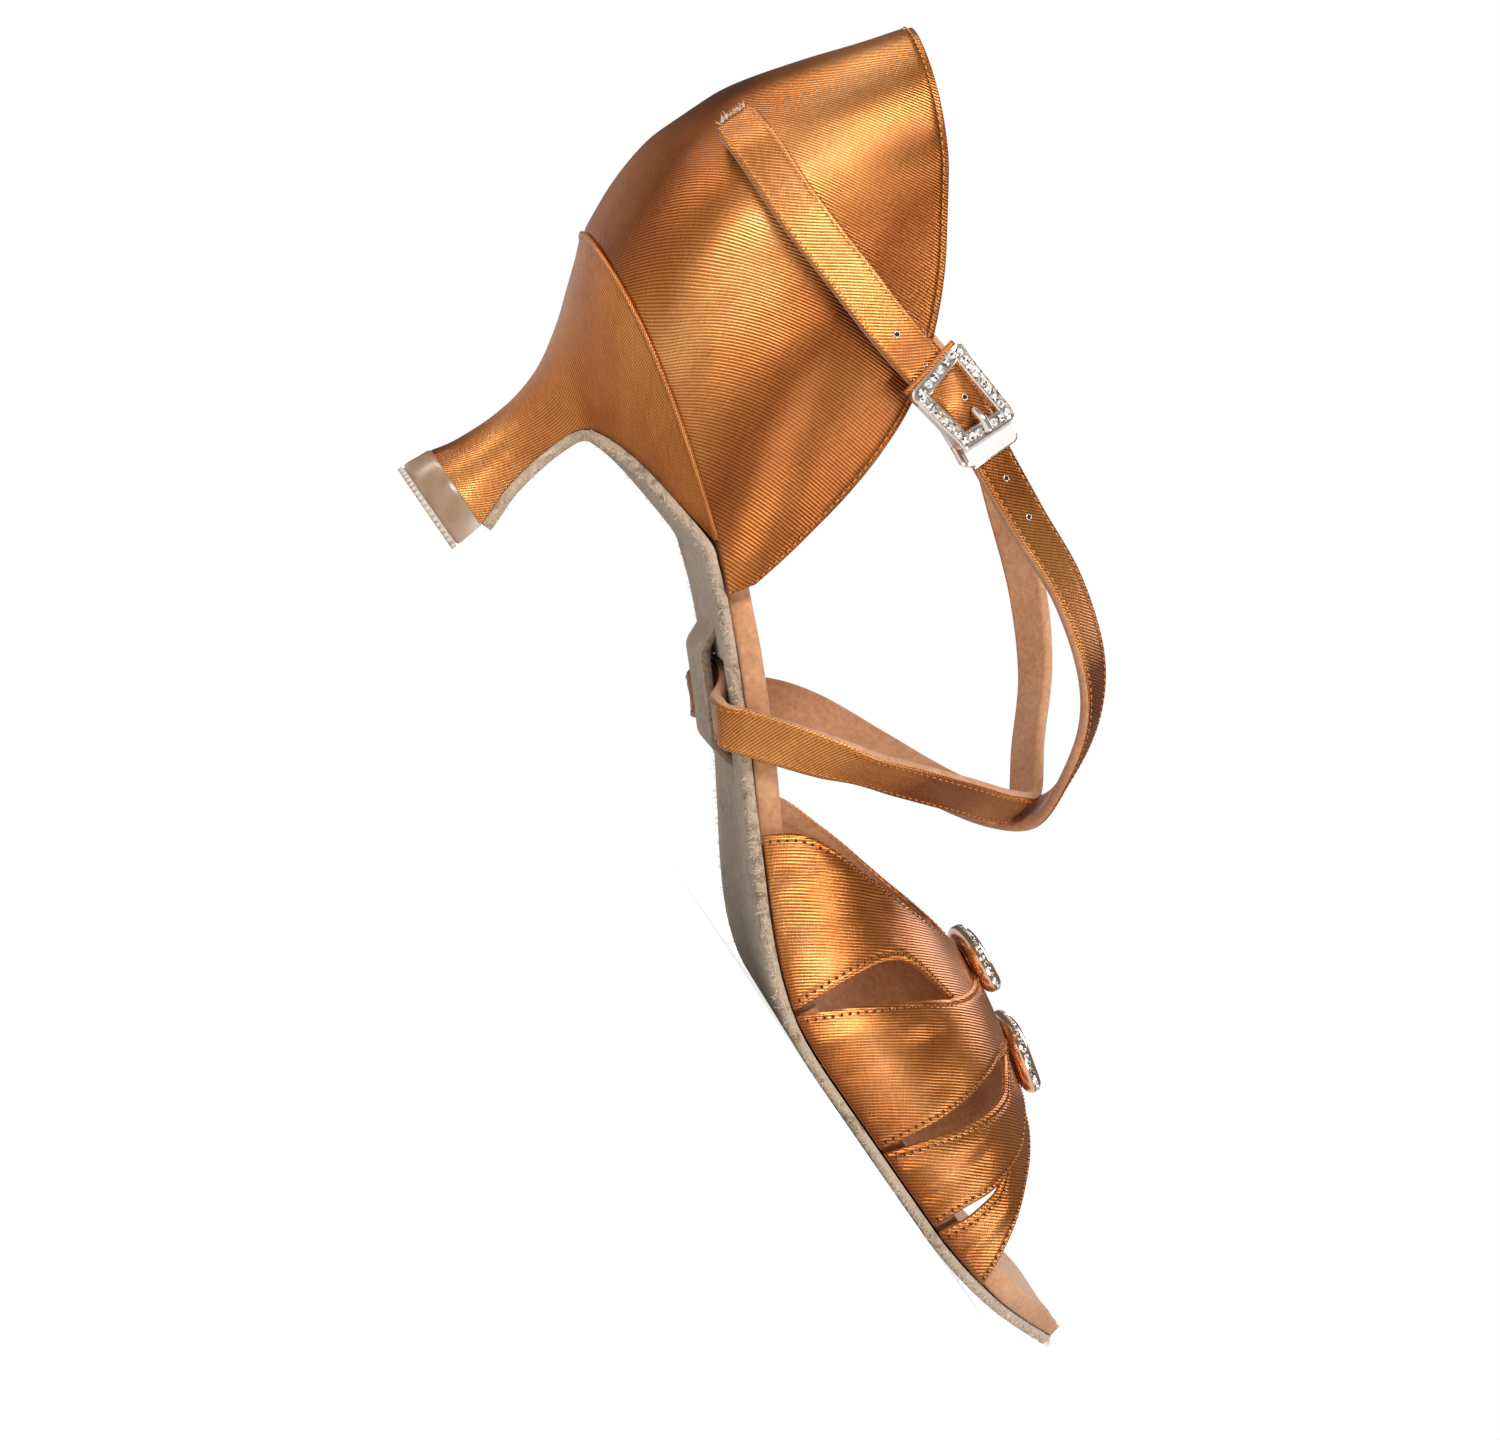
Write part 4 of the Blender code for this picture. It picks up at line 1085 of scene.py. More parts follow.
def make_quarter():
    """The heel cup: satin outside, lining inside, a folded edge along the topline."""
    stations = 1 - np.linspace(1, 0, 56) ** 1.25
    sides = [(-1, s) for s in stations[::-1]] + [(1, s) for s in stations[1:]]
    steps = list(np.linspace(0, 0.955, 28)) + [0.965, 0.974, 0.982, 0.990, 0.996, 1.0]
    outer, inner = [], []
    for side, share in sides:
        out_row, in_row = [], []
        for step in steps:
            around, lift = cup_place(share, step)
            point = quarter_point(around, lift, side)
            normal = unit(quarter_normal(around, lift, side) * np.array([1, 1, 0 if step == 0 else 1]))
            relief = sum(crease_height(point, *line) for line in quarter_lines)
            relief -= TOPLINE_FOLD * eased((step - FOLD_FROM) / (1 - FOLD_FROM))
            relief -= groove((1 - step) * crest_height(share), QUARTER_GROOVE)
            out_row.append(point + normal * (relief - 0.00002))
            in_row.append(point - normal * QUARTER_WALL * (1 - 0.25 * (step == 1.0)))
        outer.append(out_row)
        inner.append(in_row)
    cup = smooth(wall_piece("quarter_cover", outer, inner, [satin, satin_edge, lining], 1))
    return fitted(cup, "satin", "quarter")


lining = microfibre_look("lining")
satin = satin_look("satin", 0.00052, -0.6, 0.78, 0.9, QUARTER_PAINTED_SHINE)
make_quarter()


def stitch_tree():
    """Raised stitches along a line, each between two near-black discs: painted shade for its pinholes."""
    inputs = {label: "Float" for label in ("Pitch", "Length", "Width", "Hole Width")}
    inputs.update({"Thread": "Material", "Hole": "Material"})
    tree, given, points, out = row_tree("stitch_row", "Pitch", inputs)
    tangent = add(tree, "GeometryNodeInputTangent").outputs["Tangent"]
    level = turned_to(tree, tangent, "X")
    turn = turned_to(tree, out, "Z", {"Rotation": level}, pivot_axis="X")
    ball = add(tree, "GeometryNodeMeshUVSphere", {"Segments": 6, "Rings": 4, "Radius": 0.5}).outputs["Mesh"]
    values = {"X": given["Length"], "Y": given["Width"], "Z": given["Width"]}
    thread = copies(tree, points, ball, turn, add(tree, "ShaderNodeCombineXYZ", values).outputs["Vector"])
    hole = copies(tree, points, ball, turn, scaled(tree, (2.0, 1.30, 1.15), given["Hole Width"]))
    offset = scaled(tree, tangent, maths(tree, "MULTIPLY", given["Pitch"], 0.5))
    values = {"Instances": hole, "Translation": offset, "Local Space": False}
    moved = add(tree, "GeometryNodeTranslateInstances", values).outputs["Instances"]
    both = add(tree, "GeometryNodeJoinGeometry", {"Geometry": painted(tree, thread, given["Thread"])})
    tree.links.new(painted(tree, moved, given["Hole"]), both.inputs["Geometry"])
    return ended(tree, both.outputs["Geometry"])


thread_look = new_look("thread", THREAD, 0.5, 0.15)[0]
# Near-black discs painted as the shade inside needle holes and punched holes.
pinhole_shade_look = new_look("pinhole_shade", (0.035, 0.012, 0.004), 1.0)[0]
stitches = stitch_tree()


def stitch(name, line, outs, node, hole=PINHOLE_WIDTH):
    """A row of stitches on a line of points with the way out of the cloth."""
    values = {
        "Pitch": STITCH_PITCH,
        "Length": STITCH_PITCH * THREAD_SHARE,
        "Width": THREAD_WIDTH,
        "Hole Width": hole,
        "Thread": thread_look,
        "Hole": pinhole_shade_look,
    }
    made = grown(name, line, outs, stitches, values)
    made.data.shade_smooth()
    return fitted(made, "satin", node)


top_line, top_outs = [], []
top_sides = [(-1, s) for s in np.linspace(0.985, 0, 90)] + [(1, s) for s in np.linspace(0, 0.985, 90)[1:]]
for top_side, top_share in top_sides:
    crest_step = 1 - STITCH_INSET / crest_height(top_share)
    at_around, at_lift = cup_place(top_share, crest_step)
    out_way = quarter_normal(at_around, at_lift, top_side)
    top_line.append(quarter_point(at_around, at_lift, top_side) - out_way * 0.00008)
    top_outs.append(out_way)
stitch("quarter_topline_stitches", top_line, top_outs, "quarter")

# The vamp
# Four overlapping bands of satin cross the forefoot and leave windows between them, where the lining of the
# far side shows. Every edge is folded and stitched, and the cloth is gathered where it goes under the sole.

VAMP_HEIGHT = 0.033
VAMP_WALL = 0.0016
RIDGE = 0.05
ARCH = [
    # along, height
    (0.45, 0.90),
    (0.55, 0.97),
    (0.63, 1.00),
    (0.70, 0.96),
    (0.77, 0.86),
    (0.84, 0.74),
    (0.90, 0.64),
]
BANDS = {
    "rear": [
        # around, rear edge, front edge
        (0.00, 0.4590, 0.5800),
        (0.14, 0.4750, 0.5830),
        (0.27, 0.4980, 0.5880),
        (0.40, 0.5275, 0.5980),
        (0.47, 0.5430, 0.6100),
        (0.52, 0.5545, 0.6320),
        (0.56, 0.5640, 0.6620),
        (0.62, 0.5790, 0.6780),
        (0.80, 0.6240, 0.6950),
        (1.00, 0.6560, 0.7000),
    ],
    "middle": [
        # around, rear edge, front edge
        (0.00, 0.5830, 0.7110),
        (0.15, 0.6010, 0.7180),
        (0.28, 0.6190, 0.7240),
        (0.40, 0.6360, 0.7265),
        (0.52, 0.6540, 0.7275),
        (0.64, 0.6660, 0.7290),
        (0.75, 0.6720, 0.7360),
        (0.88, 0.6740, 0.7440),
        (1.00, 0.6750, 0.7470),
    ],
    "front": [
        # around, rear edge, front edge
        (0.00, 0.7150, 0.7950),
        (0.13, 0.7270, 0.7985),
        (0.28, 0.7400, 0.8045),
        (0.45, 0.7500, 0.8050),
        (0.60, 0.7530, 0.8000),
        (0.70, 0.7440, 0.7950),
        (0.85, 0.7400, 0.7900),
        (1.00, 0.7380, 0.7880),
    ],
    "toe": [
        # around, rear edge, front edge
        (0.00, 0.8040, 0.8740),
        (0.15, 0.8090, 0.8600),
        (0.29, 0.8090, 0.8470),
        (0.45, 0.7950, 0.8330),
        (0.60, 0.7850, 0.8220),
        (0.80, 0.7780, 0.8100),
        (1.00, 0.7750, 0.8030),
    ],
}
TOE_BAND_MORE = 0.014
FOLD_WIDTH = 0.0007
FOLD_DEEP = 0.0004
CREASE_FREE = 0.004
VAMP_GROOVE = 0.0002
VAMP_PINHOLE = 0.00038
STITCH_SINK = 0.00006
BAND_LIFT = {"rear": 0.0, "middle": 0.0007, "front": 0.0002, "toe": -0.0004}
VAMP_CREASES = [
    # side, along, around, to along, to around, width, depth
    (-1, 0.500, 0.02, 0.520, 0.40, 0.0030, 0.00060),
    (-1, 0.525, 0.02, 0.560, 0.45, 0.0022, -0.00050),
    (-1, 0.548, 0.03, 0.590, 0.42, 0.0018, 0.00030),
    (-1, 0.488, 0.02, 0.497, 0.16, 0.0014, -0.00035),
    (-1, 0.610, 0.02, 0.650, 0.35, 0.0024, 0.00045),
    (-1, 0.640, 0.02, 0.668, 0.40, 0.0020, -0.00035),
    (-1, 0.690, 0.02, 0.700, 0.30, 0.0020, -0.00030),
    (-1, 0.735, 0.02, 0.760, 0.35, 0.0018, 0.00035),
    (-1, 0.765, 0.02, 0.775, 0.30, 0.0016, -0.00030),
    (-1, 0.835, 0.02, 0.826, 0.30, 0.0018, 0.00030),
    (1, 0.505, 0.02, 0.530, 0.40, 0.0026, 0.00050),
    (1, 0.540, 0.02, 0.575, 0.42, 0.0020, -0.00045),
    (1, 0.615, 0.02, 0.650, 0.35, 0.0024, 0.00040),
    (1, 0.655, 0.02, 0.680, 0.38, 0.0020, -0.00035),
    (1, 0.740, 0.02, 0.765, 0.35, 0.0018, 0.00035),
    (1, 0.840, 0.02, 0.828, 0.30, 0.0018, -0.00030),
]


def vamp_point(along, around, side):
    """A point of the vamp's outer face: around from 0 at the sole to 1 at the top."""
    turn = around * math.pi / 2
    ridge = RIDGE * BALL_WIDTH
    half = outline(along, side)
    y = ridge + (side * half - ridge) * math.cos(turn) ** 0.85
    z = feather(along) + GAP / 2 + read(ARCH, along, 1) * VAMP_HEIGHT * math.sin(turn) ** 0.9
    return np.array([x_of(along), y, z])


def vamp_normal(along, around, side):
    """Unit normal of the vamp, outwards."""
    step = 0.004
    a = vamp_point(along + step, around, side) - vamp_point(along - step, around, side)
    b = vamp_point(along, min(around + step, 1.0), side) - vamp_point(along, max(around - step, 0.0), side)
    if around > 0.97:
        b = np.array([0.0, -side, 0.0])
    out = np.cross(a, b) * -side
    if around == 0:
        out[2] = 0
    return unit(out)


def vamp_wall(along, around, side, depth):
    """A point over or below the vamp's outer face."""
    return vamp_point(along, around, side) + vamp_normal(along, around, side) * depth


vamp_lines = crease_lines(VAMP_CREASES, vamp_point)


def girth(along, side):
    """Length from the sole to the top of the arch on one side."""
    return float(run_lengths([vamp_point(along, around, side) for around in np.linspace(0, 1, 12)])[-1])


GIRTHS = {side: [(a, girth(a, side)) for a in np.linspace(0.45, 0.88, 12)] for side in (-1, 1)}


def band_edges_at(word, edges, around, side):
    """A band's rear and front edges. On the medial side the toe band is a little wider."""
    rear, front = read(edges, around, 1), read(edges, around, 2)
    if word == "toe" and side > 0:
        front += TOE_BAND_MORE * eased((around - 0.10) / 0.25) * (1 - eased((around - 0.62) / 0.3))
    return rear, front


def band_lift(word, around):
    """How far a band lies over the vamp's form: only where it crosses its neighbour."""
    return BAND_LIFT[word] * eased((around - 0.30) / 0.25)


# Painted shade and highlight on the vamp: darker along the feather, a bright band a little above it,
# multiplied into the satin's colour.
VAMP_PAINTED_SHINE = (
    # way, height under which it shows, bands of painted highlight and shade
    (0.0, 0.0, 1.0),
    1.0,
    [
        # place, colour factor: under one painted shade, over one painted highlight
        (0.0020, (0.55, 0.44, 0.36)),
        (0.0060, (0.86, 0.80, 0.72)),
        (0.0110, (1.18, 1.38, 1.65)),
        (0.0165, (0.98, 0.96, 0.94)),
        (0.0240, (0.88, 0.82, 0.75)),
        (0.0360, (0.84, 0.78, 0.70)),
    ],
)
vamp_satin = satin_look("vamp_satin", 0.00052, -1.01, 0.74, 0.9, VAMP_PAINTED_SHINE)


def make_band(word, edges):
    """One band from the sole over the arch to the sole, and the stitches along its two edges."""
    arounds = np.linspace(0, 1, 46)
    sides = [(-1, r) for r in arounds] + [(1, r) for r in arounds[-2::-1]]
    shares = [0.0, 0.008, 0.02, 0.035, 0.05, 0.07] + list(np.linspace(0.10, 0.90, 22))
    shares += [0.93, 0.95, 0.965, 0.98, 0.992, 1.0]
    outer, inner, flats = [], [], []
    lines = {"rear": ([], []), "front": ([], [])}
    for side, around in sides:
        rear, front = band_edges_at(word, edges, around, side)
        span = (front - rear) * SOLE_LENGTH
        lift = band_lift(word, around)
        out_row, in_row, flat_row = [], [], []
        for share in shares:
            along = rear + (front - rear) * share
            point = vamp_point(along, around, side)
            flat_row.append((-side * read(GIRTHS[side], along, 1) * (1 - around), point[0]))
            relief = sum(crease_height(point, *line) for line in vamp_lines)
            rim = min(share, 1 - share) * span
            relief *= eased(rim / CREASE_FREE)
            relief -= FOLD_DEEP * (1 - eased(rim / FOLD_WIDTH)) + groove(rim, VAMP_GROOVE)
            normal = vamp_normal(along, around, side)
            out_row.append(point + normal * (lift + relief))
            in_row.append(point + normal * (lift * 0.8 - VAMP_WALL * (0.62 + 0.3 * eased(rim / 0.003))))
        outer.append(out_row)
        inner.append(in_row)
        flats.append(flat_row)
        for label, inset in (("rear", STITCH_INSET), ("front", span - STITCH_INSET)):
            along = rear + inset / SOLE_LENGTH
            if around < 0.012:
                continue
            lines[label][0].append(vamp_wall(along, around, side, lift - STITCH_SINK))
            lines[label][1].append(vamp_normal(along, around, side))
    band = smooth(wall_piece(f"vamp_band_{word}", outer, inner, [vamp_satin, satin_edge, lining], 1, flats))
    fitted(band, "satin", "vamp")
    for label, (line, outs) in lines.items():
        stitch(f"vamp_{word}_{label}_stitches", line, outs, "vamp", VAMP_PINHOLE)


for band_word, band_edges in BANDS.items():
    make_band(band_word, band_edges)

# The strap
# One ribbon, satin outside and suede inside, sewn along both edges and punched at even steps. It leaves the
# medial quarter, crosses the instep, runs through the suede tunnel under the shank and crosses back over.

STRAP_WIDTH = 0.008
STRAP_THICK = 0.002
TAIL_ROLL = 0.0024
EDGE_FROM = 0.92
EDGE_EASED = 0.30
SEAM_AT = 0.80
SEAM_DEEP = 0.00013
LOOP_THICK = 0.001
HOLE_STEP = 0.0079
HOLE_RADIUS = 0.00042
EYELET = [
    # radius, height
    (HOLE_RADIUS * 0.8, -0.0003),
    (HOLE_RADIUS, 0.00008),
    (HOLE_RADIUS * 1.3, 0.00014),
    (HOLE_RADIUS * 1.6, -0.0001),
]
BUCKLE_LONG = 0.015
BUCKLE_TALL = 0.013
BUCKLE_BAR = 0.0026
BULGE = 0.0014
FOOT_AXIS = [
    # along, lift
    (0.036, 0.495),
    (0.296, 0.551),
    (0.484, 0.605),
]
STRAP_START = [
    # around, lift
    (0.630, 0.660),
    (0.720, 0.720),
]
STRAP_OVER_FIRST = [
    # along, across, lift
    (0.287, 0.372, 0.860),
    (0.341, 0.374, 0.935),
    (0.399, 0.355, 0.968),
    (0.462, 0.312, 1.000),
    (0.518, 0.234, 0.985),
    (0.558, 0.115, 0.900),
    (0.587, 0.000, 0.820),
    (0.571, -0.090, 0.740),
    (0.540, -0.170, 0.630),
    (0.493, -0.265, 0.440),
    (0.444, -0.352, 0.235),
]
STRAP_OVER_SECOND = [
    # along, across, lift
    (0.412, 0.312, 0.150),
    (0.448, 0.318, 0.300),
    (0.500, 0.270, 0.475),
    (0.552, 0.172, 0.640),
    (0.588, 0.085, 0.760),
    (0.601, -0.004, 0.850),
    (0.579, -0.130, 0.933),
    (0.543, -0.234, 1.005),
    (0.498, -0.312, 1.005),
    (0.435, -0.360, 0.937),
    (0.372, -0.378, 0.836),
    (0.323, -0.385, 0.769),
    (0.262, -0.387, 0.700),
]
STRAP_END = [
    # around, lift
    (0.800, 0.630),
    (0.700, 0.575),
    (0.560, 0.520),
    (0.400, 0.468),
    (0.270, 0.450),
    (0.200, 0.444),
]


def free_row(along, across, lift):
    """A free stretch's point, facing away from the line inside the foot."""
    point = np.array([x_of(along), across * BALL_WIDTH, feather(along) + lift * COUNTER_HEIGHT])
    best = None
    for (a, la), (b, lb) in zip(FOOT_AXIS, FOOT_AXIS[1:]):
        start = feather_point(a) + np.array([0, 0, la * COUNTER_HEIGHT])
        end = feather_point(b) + np.array([0, 0, lb * COUNTER_HEIGHT])
        t = np.clip(np.dot(point - start, end - start) / np.dot(end - start, end - start), 0, 1)
        out = point - (start + (end - start) * t)
        if best is None or np.linalg.norm(out) < np.linalg.norm(best):
            best = out
    return point, unit(best)


def under_shank(along, y, depth):
    """A point under the shank, facing down."""
    drop = feather_normal(along)
    return feather_point(along) + sideways(y) + drop * depth, drop


def tunnel_rows():
    """The strap round the lateral edge of the shank, through the tunnel and round the medial edge."""
    rest = STRAP_THICK / 2 + 2 * GAP
    under = GAP + SOLE_THICK + rest
    inside = GAP / 2 + rest
    slit = TUNNEL_HALF_WIDTH + SLIT_WIDTH
    rows = []
    for side in (-1, 1):
        places = np.linspace(TUNNEL_ALONG, TUNNEL_ALONG + 2 * TUNNEL_SLANT + STRAP_WIDTH / SOLE_LENGTH / 2, 5)
        half = max(outline(at, side) for at in places)
        bend = [
            # slant, across, depth, turn outwards
            (1.50, half + rest + GAP, 0.0, 1.0),
            (1.30, half + 0.8 * rest, under - 0.9 * rest, 0.8),
            (1.15, half + 0.3 * rest, under + GAP, 0.4),
            (1.00, half - rest, under + 2 * GAP, 0.0),
            (0.85, slit + 2 * GAP, under + 2 * GAP, 0.0),
            (0.40, TUNNEL_HALF_WIDTH, inside + GAP, 0.0),
        ]
        half_rows = []
        for slant, across, depth, turn in bend:
            point, drop = under_shank(TUNNEL_ALONG + TUNNEL_SLANT * slant, side * across, depth)
            half_rows.append((point, unit(sideways(side * turn) + drop * (1 - turn))))
        rows += half_rows if side < 0 else [under_shank(TUNNEL_ALONG, 0.0, inside)] + half_rows[::-1]
    return rows


def strap_path(count):
    """Points of the strap's middle line with its tangents, widths and facings."""
    rest = 4 * GAP + LOOP_THICK + STRAP_THICK / 2
    route = []
    for around, lift in STRAP_START:
        normal = quarter_normal(around, lift, 1)
        route.append((quarter_point(around, lift, 1) + normal * rest, normal))
    route += [free_row(*row) for row in STRAP_OVER_FIRST]
    route += tunnel_rows()
    route += [free_row(*row) for row in STRAP_OVER_SECOND]
    for k, (around, lift) in enumerate(STRAP_END):
        off = rest if k < 2 else 4 * GAP + STRAP_THICK / 2
        normal = quarter_normal(around, lift, -1)
        route.append((quarter_point(around, lift, -1) + normal * off, normal))
    path = smooth_path([np.concatenate([point, facing]) for point, facing in route], count)
    points, facings = path[:, :3], path[:, 3:]
    tangents = np.gradient(points, axis=0)
    tangents /= np.linalg.norm(tangents, axis=1)[:, None]
    facings = facings - tangents * np.sum(facings * tangents, axis=1)[:, None]
    facings /= np.linalg.norm(facings, axis=1)[:, None]
    return points, tangents, np.cross(facings, tangents), facings


strap_points, strap_tangents, strap_wides, strap_outs = strap_path(900)
strap_far = run_lengths(strap_points)
buckle_away = np.linalg.norm(strap_points - free_row(*STRAP_OVER_SECOND[-1])[0], axis=1)
buckle_middle = strap_far[int(np.argmin(buckle_away))]


def strap_frame(far):
    """Point, width way and facing of the strap's middle line at a length along it."""
    return [on_line(rows, strap_far, far) for rows in (strap_points, strap_wides, strap_outs)]


def buckle_place(forward, across, high):
    """A point in the buckle's own directions: forward on the strap, across it and over its middle line."""
    point, wide, out = strap_frame(buckle_middle - forward)
    return point + wide * across + out * high


def bulge_at(far):
    """How far the strap stands up through the buckle's frame."""
    away = (far - buckle_middle) / (BUCKLE_LONG / 2 - BUCKLE_BAR)
    return BULGE * max(1 - away * away, 0.0)


def make_strap():
    """The ribbon, its edges eased and its face bowed a little."""
    across = [-1, -0.975, -0.92, -0.8, -0.5, -0.2, 0, 0.2, 0.5, 0.8, 0.92, 0.975, 1]
    outer, inner = [], []
    for far in np.linspace(0, strap_far[-1], 560):
        point, wide, out = strap_frame(far)
        wide = wide * (1 - 0.35 * eased((far - strap_far[-1] + TAIL_ROLL) / TAIL_ROLL) ** 2)
        top, low = [], []
        for s in across:
            edge = 1 - EDGE_EASED * eased((abs(s) - EDGE_FROM) / 0.08)
            stitched = SEAM_DEEP * math.exp(-((abs(s) - SEAM_AT) / 0.05) ** 2)
            rise = STRAP_THICK / 2 * edge - stitched + bulge_at(far) * (1 - 0.6 * s * s)
            place = point + wide * s * STRAP_WIDTH / 2
            top.append(place + out * rise)
            low.append(place - out * STRAP_THICK / 2 * edge)
        outer.append(top)
        inner.append(low)
    ribbon = wall_piece("strap_ribbon", outer, inner, [strap_satin, strap_side, strap_side], 1)
    return fitted(ribbon, "satin", "strap")


# Painted highlight and shade along the strap: bright and dark bands multiplied into its satin's colour.
STRAP_PAINTED_SHINE = (
    # way, height under which it shows, bands of painted highlight and shade
    (1.0, 0.0, 0.0),
    1.0,
    [
        # place, colour factor: under one painted shade, over one painted highlight
        (-0.170, (0.86, 0.80, 0.74)),
        (-0.152, (1.15, 1.30, 1.50)),
        (-0.128, (1.18, 1.35, 1.55)),
        (-0.110, (0.92, 0.88, 0.82)),
        (-0.086, (0.74, 0.66, 0.58)),
        (-0.068, (1.25, 1.45, 1.65)),
        (-0.054, (1.15, 1.28, 1.40)),
        (-0.048, (0.62, 0.50, 0.42)),
        (-0.040, (0.66, 0.54, 0.46)),
        (-0.034, (1.00, 1.00, 1.00)),
        (-0.024, (0.90, 0.86, 0.82)),
    ],
)
strap_satin = satin_look("strap_satin", 0.00052, 0.7, 0.72, 1.0, STRAP_PAINTED_SHINE)
strap_side = microfibre_look("strap_side")
make_strap()
for row_side, row_word in ((-1, "upper"), (1, "lower")):
    row_line, row_outs = [], []
    for far in np.linspace(0.001, strap_far[-1] - 0.001, 420):
        point, wide, out = strap_frame(far)
        high = STRAP_THICK / 2 - 0.0001 + bulge_at(far) * 0.6
        row_line.append(point + wide * row_side * STRAP_WIDTH * SEAM_AT / 2 + out * high)
        row_outs.append(out)
    stitch(f"strap_{row_word}_stitches", row_line, row_outs, "strap")


tail_line, tail_outs = [], []
tail_point, tail_wide, tail_out = strap_frame(strap_far[-1])
tail_way = strap_tangents[-1]
for tail_high in (0.8, -0.2, -0.8):
    for tail_share in np.linspace(-0.62, 0.62, 12):
        tail_across = tail_wide * tail_share * STRAP_WIDTH / 2
        tail_line.append(tail_point + tail_across + tail_out * tail_high * STRAP_THICK / 2)
        tail_outs.append(tail_way + tail_out * 0.4)
tail_values = {
    "Spacing": 0.00010,
    "Length": 0.0013,
    "Thickness": 0.00010,
    "Spread": 0.0005,
    "Seed": 8,
    "Material": fibre_look,
}
fitted(grown("strap_tail_fray", tail_line, tail_outs, fuzz, tail_values), "satin", "strap")


def disc_rings(centre, wide, run, out, profile, sides=12):
    """Rings about a facing, from (radius, height) pairs."""
    ways = [wide * math.cos(a) + run * math.sin(a) for a in [2 * math.pi * k / sides for k in range(sides)]]
    return [[centre + way * radius + out * high for way in ways] for radius, high in profile]


eyelet_metal = new_look("eyelet_metal", (0.72, 0.66, 0.60), 0.30, 1.0)[0]


def joined(name, pieces):
    """Several pieces as one."""
    for piece in bpy.context.selected_objects:
        piece.select_set(False)
    for piece in pieces:
        piece.select_set(True)
    bpy.context.view_layer.objects.active = pieces[0]
    bpy.ops.object.join()
    pieces[0].name = name
    return pieces[0]


eyelets, hole_shade_discs = [], []
for step in range(-2, 4):
    far = buckle_middle - HOLE_STEP * step
    point, wide, out = strap_frame(far)
    run = np.cross(wide, out)
    top = point + out * (STRAP_THICK / 2 + bulge_at(far))
    eyelets.append(ring_piece("eyelet", disc_rings(top, wide, run, out, EYELET), [eyelet_metal]))
    # The near-black disc in each eyelet is painted shade where the punched opening would be.
    dark = [(HOLE_RADIUS * 0.9, -0.0001), (HOLE_RADIUS * 0.9, 0.0001)]
    hole_shade_discs.append(ring_piece("punched", disc_rings(top, wide, run, out, dark), [pinhole_shade_look], 0.5))
fitted(joined("strap_eyelets", eyelets), "metal", "strap")
fitted(joined("strap_hole_shade", hole_shade_discs), "satin", "strap")

# The buckle
# A slide buckle: a cast frame holds a row of clear stones between two thin walls, a short polished prong
# stands on its front bar, and a hook plate under it catches the satin loop sewn to the quarter.

HOOK_PLATE_THICK = 0.0008
HOOK_PLATE_TALL = 0.0095
HOOK_REACH = 0.0035
HOOK_BAR_TALL = 0.0112
HOOK_REAR = 0.004
PRONG_RADIUS = 0.0007
LOOP_LONG = 0.008
LOOP_WIDTH = 0.0064
CORNER = 0.0004
STONE_PITCH = 0.00172
STONE_RADIUS = 0.00084
FRAME_HIGH = 0.002
CHANNEL_FLOOR = 0.0013
HOOK_OVERLAP = 0.0008
HOOK_BAR_THICK = 0.0011
HOOK_RIM_THICK = 0.0008
CHEEK_RADIUS = 0.0006
ROLL_RADIUS = 0.00055
PRONG_FROM = 0.0022
silver = new_look("silver", (0.88, 0.80, 0.72), 0.16, 0.86)[0]
plate_coat = {"Coat Weight": 0.6, "Coat Roughness": 0.05}
plate_look = new_look("polished_plate", (0.98, 0.95, 0.92), 0.20, 0.30, plate_coat)[0]
rose_gold = new_look("rose_gold", (0.92, 0.58, 0.38), 0.13, 0.92)[0]


def painted_glint_stone_look():
    """Clear cut stones with painted reflections: bright facets beside dark ones, painted into the colour cell
    by cell.
    """
    more = {"Coat Weight": 0.8, "Coat Roughness": 0.02}
    look, tree, shader = new_look("stones", (0.8, 0.8, 0.82), 0.05, 0.40, more)
    values = {"Vector": shoe_place(tree), "Scale": 2100}
    cells = add(tree, "ShaderNodeTexVoronoi", values).outputs["Color"]
    glint_level = add(tree, "ShaderNodeRGBToBW", {"Color": cells}).outputs["Val"]
    # Painted glints: each cell's colour runs from near black to white, in place of reflected light.
    stops = [(0.24, (0.07, 0.05, 0.05)), (0.36, (0.50, 0.45, 0.43)), (0.48, (1.00, 0.99, 0.98))]
    coloured(tree, shader, glint_level, stops)
    return look


def stone_tree():
    """Cut stones along a line, each facing out of its setting."""
    inputs = {"Pitch": "Float", "Radius": "Float", "Material": "Material"}
    tree, given, points, out = row_tree("stone_row", "Pitch", inputs)
    both = add(tree, "GeometryNodeJoinGeometry")
    for low, high, wide, narrow in ((0.0, 0.35, 1.0, 0.86), (0.35, 0.68, 0.86, 0.46)):
        values = {"Vertices": 8, "Radius Bottom": wide, "Radius Top": narrow, "Depth": high - low}
        cut = add(tree, "GeometryNodeMeshCone", values, fill_type="NGON").outputs["Mesh"]
        values = {"Geometry": cut, "Translation": (0.0, 0.0, low), "Rotation": (0.0, 0.0, low)}
        raised = add(tree, "GeometryNodeTransform", values).outputs["Geometry"]
        tree.links.new(raised, both.inputs["Geometry"])
    placed = copies(tree, points, both.outputs["Geometry"], turned_to(tree, out, "Z"), given["Radius"])
    return ended(tree, painted(tree, placed, given["Material"]))


painted_glint_stone = painted_glint_stone_look()
stone_row = stone_tree()


